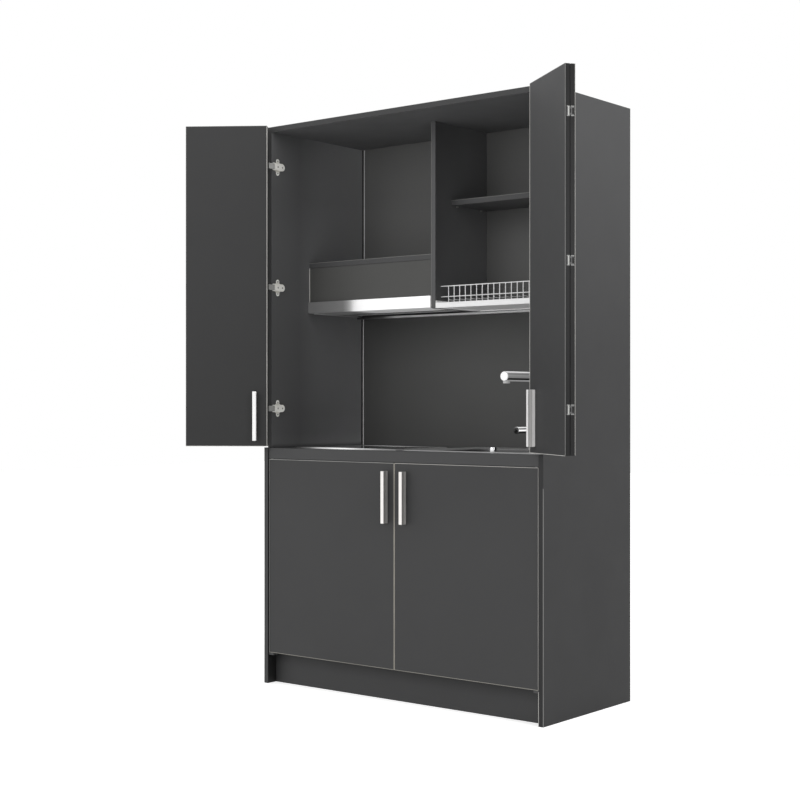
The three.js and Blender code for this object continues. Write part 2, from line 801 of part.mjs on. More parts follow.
// the arm's own pivot lies as far from the shut as from the open place of the leaf's pivot
const midway = { x: (shutPivot.x + openPivot.x) / 2, y: (shutPivot.y + openPivot.y) / 2 };
const travel = { x: openPivot.x - shutPivot.x, y: openPivot.y - shutPivot.y };
const slide = (armPivotBehindFront - midway.y) / travel.x;
const armPivot = { x: midway.x - travel.y * slide, y: armPivotBehindFront };
const armAngle = Math.atan2(openPivot.y - armPivot.y, openPivot.x - armPivot.x)
  - Math.atan2(shutPivot.y - armPivot.y, shutPivot.x - armPivot.x);

// geometry drawn for the left side is mirrored for the right one
const place = (s, geometry) => {
  if (s < 0) return geometry;
  const mirrored = geometry.clone().applyMatrix4(new THREE.Matrix4().makeScale(-1, 1, 1));
  if (mirrored.index) {
    const order = mirrored.index.array;
    for (let i = 0; i < order.length; i += 3) [order[i], order[i + 1]] = [order[i + 1], order[i]];
  }
  return mirrored;
};

function hingeArm(z) {
  const reach = { x: shutPivot.x - armPivot.x, y: shutPivot.y - armPivot.y };
  const plateTop = -armPivotBehindFront - (leafBackGap - armPlate) / 2;
  const z0 = z - hingeHalfHeight;
  const z1 = z + hingeHalfHeight;
  const pinHalf = hingeHalfHeight + lugGap + lugThickness;
  return join(
    rod(0, 0, z0, z1, armBarrelRadius, medium),
    box(reach.x - armEndHalf, armNeckHalf, plateTop - armPlate, plateTop, z0, z1),
    box(-armNeckHalf, armNeckHalf, plateTop - armPlate, 0, z0, z1),
    box(reach.x - armEndHalf, reach.x + armEndHalf, reach.y, plateTop, z0, z1),
    rod(reach.x, reach.y, z0, z1, leafBarrelRadius, medium),
    rod(0, 0, z - pinHalf, z + pinHalf, pinRadius, small),
    rod(reach.x, reach.y, z - pinHalf, z + pinHalf, pinRadius, small),
  );
}

// the bracket: a cross-shaped plate on the side panel, an arm and two lugs
function hingeBracket(z) {
  const lugStart = hingeHalfHeight + lugGap;
  const lugEnd = lugStart + lugThickness;
  const lugX0 = armPivot.x - lugHalfWidth;
  const lugX1 = armPivot.x + lugHalfWidth;
  const lug = (z0, z1) => cut(
    box(lugX0, lugX1, armPivot.y - lugHalfWidth, lugBack, z0, z1),
    rod(armPivot.x, armPivot.y, z0 - past, z1 + past, pinRadius + pinGap, small),
  );
  const plateX = boardThickness + crossPlate;
  const slab = (x0, x1, y0, y1, halfHeight) => box(x0, x1, y0, y1, z - halfHeight, z + halfHeight);
  const cross = (halfDepth, halfHeight) => slab(
    boardThickness, plateX, crossSetback - halfDepth, crossSetback + halfDepth, halfHeight,
  );
  return join(
    lug(z - lugEnd, z - lugStart), lug(z + lugStart, z + lugEnd),
    slab(lugX0, lugX1, lugWebFront, lugBack, lugEnd),
    slab(boardThickness, lugX1, bracketFront, bracketFront + bracketLength, bracketHalfHeight),
    cross(crossHalfDepth, crossBarHalf), cross(crossPostHalf, crossHalfHeight),
  );
}

// The outer leaf is drawn shut, seen from its hinge pivot. Ears on its outer edge hold the
// arms' pins, and its inner edge is notched for the fold hinges.
const leafX0 = leafPivotOutside;
const leafX1 = leafX0 + leafWidth;
const leafBackY = leafPivotInside;
const foldAxis = { x: leafX1 + leafEdgeGap / 2, y: leafBackY + foldGap / 2 };
const notchHalf = foldHingeHalf + notchGap;

function outerLeaf() {
  const board = box(leafX0, leafX1, leafBackY - leafThickness, leafBackY, leafBottom, leafTop);
  const lugStart = hingeHalfHeight + lugGap;
  const lugEnd = lugStart + lugThickness;
  const r = leafBarrelRadius;
  const ear = (z0, z1) => box(-r, leafX0 + past, -r, r, z0, z1);
  const ears = hingeHeights.flatMap((z) => [
    ear(z - lugEnd, z - lugStart), ear(z + lugStart, z + lugEnd),
  ]);
  const bores = hingeHeights.map((z) =>
    rod(0, 0, z - lugEnd - past, z + lugEnd + past, pinRadius + pinGap, small));
  const notches = hingeHeights.map((z) => box(
    leafX1 - notchWidth, leafX1 + past, leafBackY - notchDepth, leafBackY + past,
    z - notchHalf, z + notchHalf,
  ));
  return cut(join(board, ...ears), ...bores, ...notches);
}

// one fold hinge half: a plate on the outer leaf's edge, two knuckles and the pin
function foldHinge(z) {
  const { x, y } = foldAxis;
  const half = foldHingeHalf;
  const inner = foldKnuckleHalf + lugGap;
  return join(
    box(leafX1, leafX1 + foldPlate, leafBackY - notchDepth - foldPlateWidth, leafBackY - notchDepth,
      z - half, z + half),
    ...[[z - half, z - inner], [z + inner, z + half]].flatMap(([z0, z1]) => [
      rod(x, y, z0, z1, foldKnuckleRadius, medium),
      box(leafX1, leafX1 + foldPlate, leafBackY - notchDepth - past, y, z0, z1),
    ]),
    rod(x, y, z - half + past, z + half - past, foldPinRadius, small),
  );
}

// the inner leaf is drawn shut, seen from the fold axis
function innerLeaf() {
  const x0 = leafEdgeGap / 2;
  const y1 = -foldGap / 2;
  const board = box(x0, x0 + leafWidth, y1 - leafThickness, y1, leafBottom, leafTop);
  const notches = hingeHeights.flatMap((z) => [
    [z - notchHalf, z - foldKnuckleHalf], [z + foldKnuckleHalf, z + notchHalf],
  ].map(([z0, z1]) => box(x0 - past, x0 + notchWidth, y1 - notchDepth, y1 + past, z0, z1)));
  const knuckles = hingeHeights.map((z) =>
    rod(0, 0, z - foldKnuckleHalf, z + foldKnuckleHalf, foldKnuckleRadius, medium));
  const bores = hingeHeights.map((z) =>
    rod(0, 0, z - foldKnuckleHalf - past, z + foldKnuckleHalf + past, foldPinRadius + fitGap, small));
  return cut(join(cut(board, ...notches), ...knuckles), ...bores);
}

for (const { name, s } of sides) {
  const worldX = (x) => s * (halfWidth - x);

  hingeHeights.forEach((z, i) => {
    const bracket = addPiece(`${name}_hinge_bracket_${i + 1}`, place(s, hingeBracket(z)), steel());
    bracket.position.set(worldX(0), upperFrontY, 0);
  });

  const arms = new THREE.Group();
  arms.position.set(worldX(armPivot.x), upperFrontY + armPivot.y, 0);
  arms.rotation.z = -s * armAngle;
  unit.add(arms);
  hingeHeights.forEach((z, i) => {
    addPiece(`${name}_hinge_arm_${i + 1}`, place(s, hingeArm(z)), steel(), arms);
  });

  const outer = new THREE.Group();
  outer.position.set(worldX(openPivot.x), upperFrontY + openPivot.y, 0);
  outer.rotation.z = s * openAngle;
  unit.add(outer);
  addPiece(`${name}_outer_leaf`, place(s, outerLeaf()), melamine(), outer);
  hingeHeights.forEach((z, i) => {
    addPiece(`${name}_fold_hinge_${i + 1}`, place(s, foldHinge(z)), steel(), outer);
  });

  const inner = new THREE.Group();
  inner.position.set(-s * foldAxis.x, foldAxis.y, 0);
  inner.rotation.z = -s * Math.PI;
  outer.add(inner);
  addPiece(`${name}_inner_leaf`, place(s, innerLeaf()), melamine(), inner);
  const handle = addPiece(`${name}_upper_handle`, makeHandle(), steel(), inner);
  handle.position.set(
    -s * (leafEdgeGap / 2 + leafWidth - upperHandleInset), -foldGap / 2 - leafThickness - fitGap,
    leafBottom + upperHandleRise,
  );
}

export default unit;
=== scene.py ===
import json
import math

import bmesh
import bpy
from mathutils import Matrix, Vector

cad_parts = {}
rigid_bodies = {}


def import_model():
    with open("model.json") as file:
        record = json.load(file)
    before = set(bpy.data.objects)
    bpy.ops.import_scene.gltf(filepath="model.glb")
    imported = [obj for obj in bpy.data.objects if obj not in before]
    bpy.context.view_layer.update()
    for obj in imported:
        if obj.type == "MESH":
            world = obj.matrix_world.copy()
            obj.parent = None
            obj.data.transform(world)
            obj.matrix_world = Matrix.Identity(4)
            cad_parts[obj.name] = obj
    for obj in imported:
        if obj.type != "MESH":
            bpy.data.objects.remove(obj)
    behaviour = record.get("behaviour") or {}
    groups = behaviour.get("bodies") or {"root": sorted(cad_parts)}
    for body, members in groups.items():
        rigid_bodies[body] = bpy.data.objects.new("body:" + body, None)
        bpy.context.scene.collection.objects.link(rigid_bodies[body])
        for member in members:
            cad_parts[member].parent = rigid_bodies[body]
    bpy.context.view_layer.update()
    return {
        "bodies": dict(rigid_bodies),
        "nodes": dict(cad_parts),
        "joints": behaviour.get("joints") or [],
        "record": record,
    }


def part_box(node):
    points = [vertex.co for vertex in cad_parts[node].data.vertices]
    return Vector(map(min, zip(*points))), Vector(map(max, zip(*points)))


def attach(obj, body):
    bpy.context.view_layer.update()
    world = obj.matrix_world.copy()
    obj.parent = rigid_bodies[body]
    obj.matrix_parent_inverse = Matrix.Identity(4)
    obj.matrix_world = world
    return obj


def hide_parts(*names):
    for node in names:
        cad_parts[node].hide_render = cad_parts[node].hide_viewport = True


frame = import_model()
nodes = frame["nodes"]
mm = 0.001
print("frame loaded:", len(nodes), "nodes")

sides = (("left", -1), ("right", 1))

# camera: level, with the picture's horizon a little below its middle
cameraSetup = {
    "place": (3.16994, -3.95407, 1.00839),  # metres
    "turn": 38.8346,                        # degrees to the left of +Y
    "focal": 1497.237,                      # pixels of the picture's width
    "pictureWidth": 800,
    "horizonBelowMiddle": 3.109,            # pixels
    "sensor": 36,                           # millimetres
    "farthest": 60,                         # metres
}


def makeCamera(c):
    lens = bpy.data.cameras.new("camera")
    lens.sensor_width = c["sensor"]
    lens.lens = c["focal"] / c["pictureWidth"] * lens.sensor_width
    lens.shift_y = c["horizonBelowMiddle"] / c["pictureWidth"]
    lens.clip_end = c["farthest"]
    camera = bpy.data.objects.new("camera", lens)
    camera.location = c["place"]
    camera.rotation_euler = (math.radians(90), 0, math.radians(c["turn"]))
    bpy.context.scene.collection.objects.link(camera)
    bpy.context.scene.camera = camera


makeCamera(cameraSetup)
print("camera made")


# mesh helpers; sizes are millimetres and linkMesh turns them into metres
splitAngle = math.radians(38)   # smooth pieces keep edges sharper than this


def linkMesh(name, bm, finish, body, smooth=False):
    bmesh.ops.scale(bm, vec=(mm, mm, mm), verts=bm.verts)
    bmesh.ops.recalc_face_normals(bm, faces=bm.faces)
    mesh = bpy.data.meshes.new(name)
    bm.to_mesh(mesh)
    bm.free()
    for face in mesh.polygons:
        face.use_smooth = smooth
    mesh.materials.append(finishes[finish])
    piece = bpy.data.objects.new(name, mesh)
    bpy.context.scene.collection.objects.link(piece)
    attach(piece, body)
    if smooth:
        split = piece.modifiers.new("split", "EDGE_SPLIT")
        split.split_angle = splitAngle
    return piece


def addLoops(bm, loops, closed=False):
    # a skin over rings of points, closed on itself or capped at both ends
    rings = [[bm.verts.new(p) for p in loop] for loop in loops]
    count = len(rings[0])
    pairs = list(zip(rings, rings[1:]))
    if closed:
        pairs.append((rings[-1], rings[0]))
    for low, high in pairs:
        for i in range(count):
            j = (i + 1) % count
            bm.faces.new((low[i], low[j], high[j], high[i]))
    if not closed:
        bm.faces.new(list(reversed(rings[0])))
        bm.faces.new(rings[-1])


def arc(centre, radius, start, end, steps):
    # points of an arc, in degrees, as (u, v)
    angles = [math.radians(start + (end - start) * i / steps) for i in range(steps + 1)]
    return [(centre[0] + radius * math.cos(a), centre[1] + radius * math.sin(a)) for a in angles]


def roundedRect(box, inset, z, radius, steps=8):
    x0, x1, y0, y1 = box["x0"] + inset, box["x1"] - inset, box["y0"] + inset, box["y1"] - inset
    corners = ((x1 - radius, y1 - radius, 0), (x0 + radius, y1 - radius, 90),
               (x0 + radius, y0 + radius, 180), (x1 - radius, y0 + radius, 270))
    return [(x, y, z) for cx, cy, start in corners
            for x, y in arc((cx, cy), radius, start, start + 90, steps)]


def addTurned(bm, profile, centre, axis="z", count=48, closed=False):
    loops = []
    for radius, height in profile:
        loop = []
        for i in range(count):
            a = 2 * math.pi * i / count
            u, v = radius * math.cos(a), radius * math.sin(a)
            point = {"z": (u, v, height), "y": (u, height, v), "x": (height, u, v)}[axis]
            loop.append(Vector(centre) + Vector(point))
        loops.append(loop)
    addLoops(bm, loops, closed=closed)


def roundedEnd(radius, edge, start, end, steps=4):
    # a turned bar's profile with rounded edges at both ends
    return (arc((radius - edge, start + edge), edge, -90, 0, steps)
            + arc((radius - edge, end - edge), edge, 0, 90, steps))


def addSlab(bm, x0, x1, y0, y1, z0, z1, bevel=0.3, place=None):
    verts = bmesh.ops.create_cube(bm, size=1)["verts"]
    size = Vector((x1 - x0, y1 - y0, z1 - z0))
    middle = Vector(((x0 + x1) / 2, (y0 + y1) / 2, (z0 + z1) / 2))
    for v in verts:
        v.co = Vector(c * s for c, s in zip(v.co, size)) + middle
    edges = list({e for v in verts for e in v.link_edges})
    made = bmesh.ops.bevel(bm, geom=edges, offset=bevel, segments=2, affect="EDGES", profile=0.5)
    verts = list({v for face in made["faces"] for v in face.verts} | {v for v in verts if v.is_valid})
    if place:
        for v in verts:
            v.co = Vector(place(*v.co))


def addTube(bm, path, radius, count=8, upright=0.05):
    # a stretch that leans less than upright takes its width from X, not from Z
    points = [Vector(p) for p in path]
    loops = []
    for i, p in enumerate(points):
        along = (points[min(i + 1, len(points) - 1)] - points[max(i - 1, 0)]).normalized()
        across = along.cross(Vector((0, 0, 1)))
        if across.length < upright:
            across = along.cross(Vector((1, 0, 0)))
        across.normalize()
        other = along.cross(across)
        loops.append([p + (across * math.cos(2 * math.pi * k / count)
                           + other * math.sin(2 * math.pi * k / count)) * radius
                      for k in range(count)])
    addLoops(bm, loops)


# finishes
def newFinish(name):
    finish = bpy.data.materials.new(name)
    finish.use_nodes = True
    tree = finish.node_tree
    return finish, tree, tree.nodes["Principled BSDF"]


def addNode(tree, kind, inputs=None, **settings):
    node = tree.nodes.new(kind)
    for key, value in settings.items():
        setattr(node, key, value)
    for key, value in (inputs or {}).items():
        node.inputs[key].default_value = value
    return node


def objectPlace(tree, stretch=(1, 1, 1)):
    place = addNode(tree, "ShaderNodeTexCoord")
    mapping = addNode(tree, "ShaderNodeMapping", {"Scale": stretch})
    tree.links.new(place.outputs["Object"], mapping.inputs["Vector"])
    return mapping.outputs["Vector"]


def partOf(tree, output, axis):
    # one axis of the object's own place or normal
    source = addNode(tree, "ShaderNodeTexCoord")
    split = addNode(tree, "ShaderNodeSeparateXYZ")
    tree.links.new(source.outputs[output], split.inputs["Vector"])
    return split.outputs[axis]


def noise(tree, place, scale, detail=2.0, roughness=0.5):
    node = addNode(tree, "ShaderNodeTexNoise",
                   {"Scale": scale, "Detail": detail, "Roughness": roughness})
    tree.links.new(place, node.inputs["Vector"])
    return node.outputs["Fac"]


def ramp(tree, value, lowColour, highColour, low=0.3, high=0.7):
    node = addNode(tree, "ShaderNodeValToRGB")
    stops = node.color_ramp.elements
    stops[0].position, stops[1].position = low, high
    stops[0].color, stops[1].color = (*lowColour, 1), (*highColour, 1)
    tree.links.new(value, node.inputs["Fac"])
    return node.outputs["Color"]


def spread(tree, value, low, high, fromLow=0.0, fromHigh=1.0):
    node = addNode(tree, "ShaderNodeMapRange", {
        "From Min": fromLow, "From Max": fromHigh, "To Min": low, "To Max": high})
    tree.links.new(value, node.inputs["Value"])
    return node.outputs["Result"]


def follow(tree, output, axis, stops):
    # a factor that follows (place, factor) stops along one axis
    low, high = stops[0][0], stops[-1][0]
    top = max(factor for _, factor in stops) or 1.0
    node = addNode(tree, "ShaderNodeValToRGB")
    elements = node.color_ramp.elements
    while len(elements) < len(stops):
        elements.new(0.5)
    for element, (place, factor) in zip(elements, stops):
        element.position = (place - low) / (high - low)
        element.color = (factor / top,) * 3 + (1,)
    share = spread(tree, partOf(tree, output, axis), 0.0, 1.0, low, high)
    tree.links.new(share, node.inputs["Fac"])
    return spread(tree, node.outputs["Color"], 0.0, top)


def feed(tree, value, socket):
    # a value is a number, a colour or another node's output
    if isinstance(value, (int, float, tuple)):
        socket.default_value = value
    else:
        tree.links.new(value, socket)


def give(tree, shader, values):
    for name, value in values.items():
        feed(tree, value, shader.inputs[name])


def times(tree, first, second):
    node = addNode(tree, "ShaderNodeMath", operation="MULTIPLY")
    feed(tree, first, node.inputs[0])
    feed(tree, second, node.inputs[1])
    return node.outputs[0]


def mixed(tree, share, first, second):
    node = addNode(tree, "ShaderNodeMix", data_type="FLOAT")
    feed(tree, share, node.inputs["Factor"])
    feed(tree, first, node.inputs["A"])
    feed(tree, second, node.inputs["B"])
    return node.outputs["Result"]


def shade(tree, colour, factor):
    # the colour, made lighter or darker by a value
    node = addNode(tree, "ShaderNodeVectorMath", operation="SCALE")
    tree.links.new(colour, node.inputs[0])
    tree.links.new(factor, node.inputs["Scale"])
    return node.outputs[0]


def bumpInto(tree, shader, height, distance, strength=1.0):
    node = addNode(tree, "ShaderNodeBump", {"Strength": strength, "Distance": distance})
    tree.links.new(height, node.inputs["Height"])
    tree.links.new(node.outputs["Normal"], shader.inputs["Normal"])


def grey(tone):
    return tone, tone, tone


def tint(colour, factor):
    return tuple(min(1.0, c * factor) for c in colour)


melamineLook = {
    "colour": (0.0665, 0.0668, 0.068),
    "cloud": 0.04,          # slow change of tone over the board
    "cloudScale": 2.2,
    "speckle": 0.1,        # fine print of the decor
    "speckleScale": 700,
    "speckleSpan": (0.35, 0.65),
    "roughness": (0.46, 0.6),
    "roughScale": 9,
    "pearl": 0.00004,       # depth of the pressed texture, metres
}
plain = ((0, 1), (2, 1))
# a face turns to the right, the front or downwards as its normal passes between these; these limits set
# where painted light and shade by facing fall
paintedFacingLimits = {"right": ("X", 0.4, 0.7), "front": ("Y", -0.75, -0.45), "down": ("Z", -0.9, -0.4)}


def turned(tree, way, tone):
    # painted light and shade by facing. front and down: the tone on faces that look that way, and 1
    # on others; right: 1 on those that do, and the tone on others
    axis, start, end = paintedFacingLimits[way]
    return spread(tree, partOf(tree, "Normal", axis), tone, 1, start, end)


def melamine(name, front=1, side=1, under=1, rise=plain, sideRise=plain, sideDeep=plain,
             warm=0, sheen=0.35, look=melamineLook):
    # front, side and under are painted light and shade tones on faces to -Y, +X and -Z; rise and
    # sideRise paint light and shade along the height, sideDeep along the depth
    finish, tree, shader = newFinish(name)
    place = objectPlace(tree)
    base = look["colour"]
    base = (base[0] * (1 + warm), base[1] * (1 + warm * 0.8), base[2] * (1 - warm))
    cloud = ramp(tree, noise(tree, place, look["cloudScale"], detail=3),
                 tint(base, 1 - look["cloud"]), tint(base, 1 + look["cloud"]))
    fine = noise(tree, place, look["speckleScale"], roughness=0.7)
    flecks = spread(tree, fine, 1 - look["speckle"], 1, *look["speckleSpan"])
    # painted light and shade: side faces by height and depth, front and side by facing
    paintedSideShade = times(tree, times(tree, follow(tree, "Object", "Z", sideRise), side),
                     follow(tree, "Object", "Y", sideDeep))
    paintedFacingTone = mixed(tree, turned(tree, "right", 0), front, paintedSideShade)
    tone = times(tree, times(tree, paintedFacingTone, turned(tree, "down", under)),
                 times(tree, follow(tree, "Object", "Z", rise), flecks))
    give(tree, shader, {
        "Base Color": shade(tree, cloud, tone), "Specular IOR Level": sheen,
        "Roughness": spread(tree, noise(tree, place, look["roughScale"], detail=4), *look["roughness"])})
    bumpInto(tree, shader, fine, look["pearl"])
    return finish


metalLook = {"dark": 0.88, "light": 1.06, "roughSpan": 0.06}


def brushedMetal(name, colour, roughness, brushed, metallic=1, depth=0.00002, front=1, under=1,
                 across=None, rise=None, paintedGlow=0):
    # brushed stretches the grain; front and under paint light and shade on faces to -Y and -Z
    # across and rise paint highlights and shade along the width and the height; the glow is painted light
    finish, tree, shader = newFinish(name)
    lines = noise(tree, objectPlace(tree, brushed), 1, detail=3, roughness=0.65)
    tone = ramp(tree, lines, tint(colour, metalLook["dark"]), tint(colour, metalLook["light"]))
    factor = times(tree, turned(tree, "front", front), turned(tree, "down", under))
    span = metalLook["roughSpan"]
    if across:
        factor = times(tree, factor, follow(tree, "Object", "X", across))
    if rise:
        factor = times(tree, factor, follow(tree, "Object", "Z", rise))
    if paintedGlow:
        give(tree, shader, {
            "Emission Color": (*colour, 1), "Emission Strength": times(tree, factor, paintedGlow)})
    give(tree, shader, {
        "Base Color": shade(tree, tone, factor), "Metallic": metallic,
        "Roughness": spread(tree, lines, roughness - span, roughness + span)})
    bumpInto(tree, shader, lines, depth)
    return finish


def plainSurface(name, colour, roughness, metallic=0, scale=300, depth=0.00003, wear=0.06, paintedGlow=0,
                 shine=0.5):
    finish, tree, shader = newFinish(name)
    place = objectPlace(tree)
    grain = noise(tree, place, scale, detail=3, roughness=0.6)
    stains = noise(tree, place, scale / 20, detail=3)
    tone = ramp(tree, stains, tint(colour, 1 - wear), tint(colour, 1 + wear))
    # the glow is painted light: the surface glows though it is no lamp
    if paintedGlow:
        give(tree, shader, {"Emission Color": tone, "Emission Strength": paintedGlow})
    give(tree, shader, {
        "Base Color": tone, "Metallic": metallic, "Specular IOR Level": shine,
        "Roughness": spread(tree, grain, roughness * 0.85, roughness * 1.15)})
    bumpInto(tree, shader, grain, depth)
    return finish


bandedLook = {"wear": 0.04, "grainScale": 60, "roughSpan": 0.1, "depth": 0.000004}


def paintedReflectionBands(name, bands, roughness, metallic=0, paintedGlow=0, look=bandedLook):
    # painted reflections: tones that follow the height a round face looks to, as a studio's reflections
    # do, with a painted glow
    finish, tree, shader = newFinish(name)
    tone = follow(tree, "Normal", "Z", bands)
    grain = noise(tree, objectPlace(tree), look["grainScale"])
    wear = spread(tree, grain, 1 - look["wear"], 1 + look["wear"])
    node = addNode(tree, "ShaderNodeCombineColor")
    for channel in ("Red", "Green", "Blue"):
        tree.links.new(times(tree, tone, wear), node.inputs[channel])
    if paintedGlow:
        give(tree, shader, {
            "Emission Color": (1, 1, 1, 1), "Emission Strength": times(tree, tone, paintedGlow)})
    give(tree, shader, {
        "Base Color": node.outputs["Color"], "Metallic": metallic,
        "Roughness": spread(tree, grain, roughness * (1 - look["roughSpan"]),
                            roughness * (1 + look["roughSpan"]))})
    bumpInto(tree, shader, grain, look["depth"])
    return finish


filterLook = {
    "colour": grey(0.45), "gap": 0.3, "wire": 1.2, "stops": (0.1, 0.6), "roughness": (0.6, 0.35),
    "metallic": 0.6,
    "pitch": 0.02, "depth": 0.0006,     # metres
}


def wovenMesh(name, look):
    # crossed waves stand for the filter's metal weave
    finish, tree, shader = newFinish(name)
    waves = []
    for axis in ("X", "Y"):
        wave = addNode(tree, "ShaderNodeTexWave", {"Scale": 1 / look["pitch"]}, bands_direction=axis)
        tree.links.new(objectPlace(tree), wave.inputs["Vector"])
        waves.append(wave.outputs["Fac"])
    weave = times(tree, *waves)
    gap, wire = tint(look["colour"], look["gap"]), tint(look["colour"], look["wire"])
    give(tree, shader, {
        "Base Color": ramp(tree, weave, gap, wire, *look["stops"]),
        "Roughness": spread(tree, weave, *look["roughness"]), "Metallic": look["metallic"]})
    bumpInto(tree, shader, weave, look["depth"])
    return finish


# painted light and shade: stops of (height, depth or place in metres, tone) on the boards and the steel
# on the boards: darker low down, lighter higher up, and inside lighter deeper in
leftSideRise = ((0, 0.06), (0.84, 0.06), (0.86, 1.45), (0.9, 1.15), (0.97, 1), (1.2, 1),
                (1.58, 1.1), (1.77, 1.05), (1.95, 1.3))
leftSideDeep = ((0, 0.52), (0.115, 0.57), (0.225, 0.95), (0.3, 1.15), (0.34, 1.27), (0.4, 1.5),
                (0.47, 1.72))
rightPanelRise = ((0, 0.41), (0.2, 0.42), (0.6, 0.47), (1.2, 0.59), (1.8, 0.92), (2, 1))
partitionDeep = ((0.17, 0.62), (0.3, 0.88), (0.46, 1.35))
backRise = ((1.4, 0.92), (1.55, 0.95), (1.79, 1.06), (1.95, 1.3))
leftLeafRise = ((0, 0.25), (0.9, 0.25), (1.43, 0.33), (2, 0.37))
rightLeafRise = ((0, 0.65), (0.9, 0.65), (1.43, 0.976), (2, 1.15))
rightFoldRise = ((0.9, 1), (1.43, 1), (2, 0.4))
# painted shadow: the plinth darker towards its top, under the doors
plinthRise = ((0, 1), (0.06, 0.9), (0.11, 0.45))
# painted shade: the bowl darker inside, most just below the rim
bowlRise = ((0.7, 0.5), (0.84, 0.3), (0.846, 0.35), (0.8475, 1), (0.87, 1))
# painted highlight: the visor growing lighter to the right, as a reflection
visorAcross = ((-0.56, 0.18), (-0.41, 0.2), (-0.393, 0.28), (-0.378, 0.42), (-0.368, 0.62),
               (-0.358, 0.82), (-0.34, 0.95), (-0.1, 1))
# painted highlight: a bright streak along the hob's frame
trimAcross = ((-0.5, 0.02), (-0.467, 0.03), (-0.42, 0.15), (-0.371, 0.55), (-0.3, 1),
              (-0.25, 1), (-0.185, 0.55), (-0.095, 0.28), (-0.008, 0.15))
# painted shade: the wall strip darker towards its left end
stripAcross = ((-0.55, 0.05), (-0.45, 0.2), (-0.39, 1), (0.58, 1))
# painted reflections: stops of (normal's upward part, tone) round the tap
spoutPaintedReflections = ((-1, 0.35), (-0.86, 0.5), (-0.72, 0.22), (-0.66, 0), (-0.42, 0), (-0.32, 0.27),
              (-0.1, 0.33), (0.3, 0.36), (0.45, 0.18), (0.69, 0.45), (0.89, 1.2), (1, 0.9))
leverPaintedReflections = ((-1, 0.05), (-0.75, 0), (-0.4, 0), (-0.25, 0.3), (0, 1.3), (0.25, 0.4),
              (0.42, 0.02), (0.55, 0.05), (0.75, 0.8), (1, 0.4))
columnPaintedReflections = ((-1, 0.1), (-0.2, 0.4), (0.2, 0.55), (1, 0.8))

brushedUp, brushedAcross, satin = (900, 900, 12), (14, 900, 900), (30, 700, 700)
polished = {"scale": 40, "depth": 0.000005, "wear": 0.02}
bandGrain = {"roughness": 0.5, "scale": 120, "depth": 0.00001, "wear": 0.12}
# tones of the thin edge beads, which are painted highlights on the edges
paintedHighlightTones = {
    "bright": (0.62, 0.61, 0.58),
    "clear": (0.42, 0.41, 0.39),
    "soft": (0.3, 0.3, 0.29),
    "faint": (0.17, 0.17, 0.165),
    "beige": (0.44, 0.41, 0.36),
    "beigeSoft": (0.26, 0.25, 0.22),
}

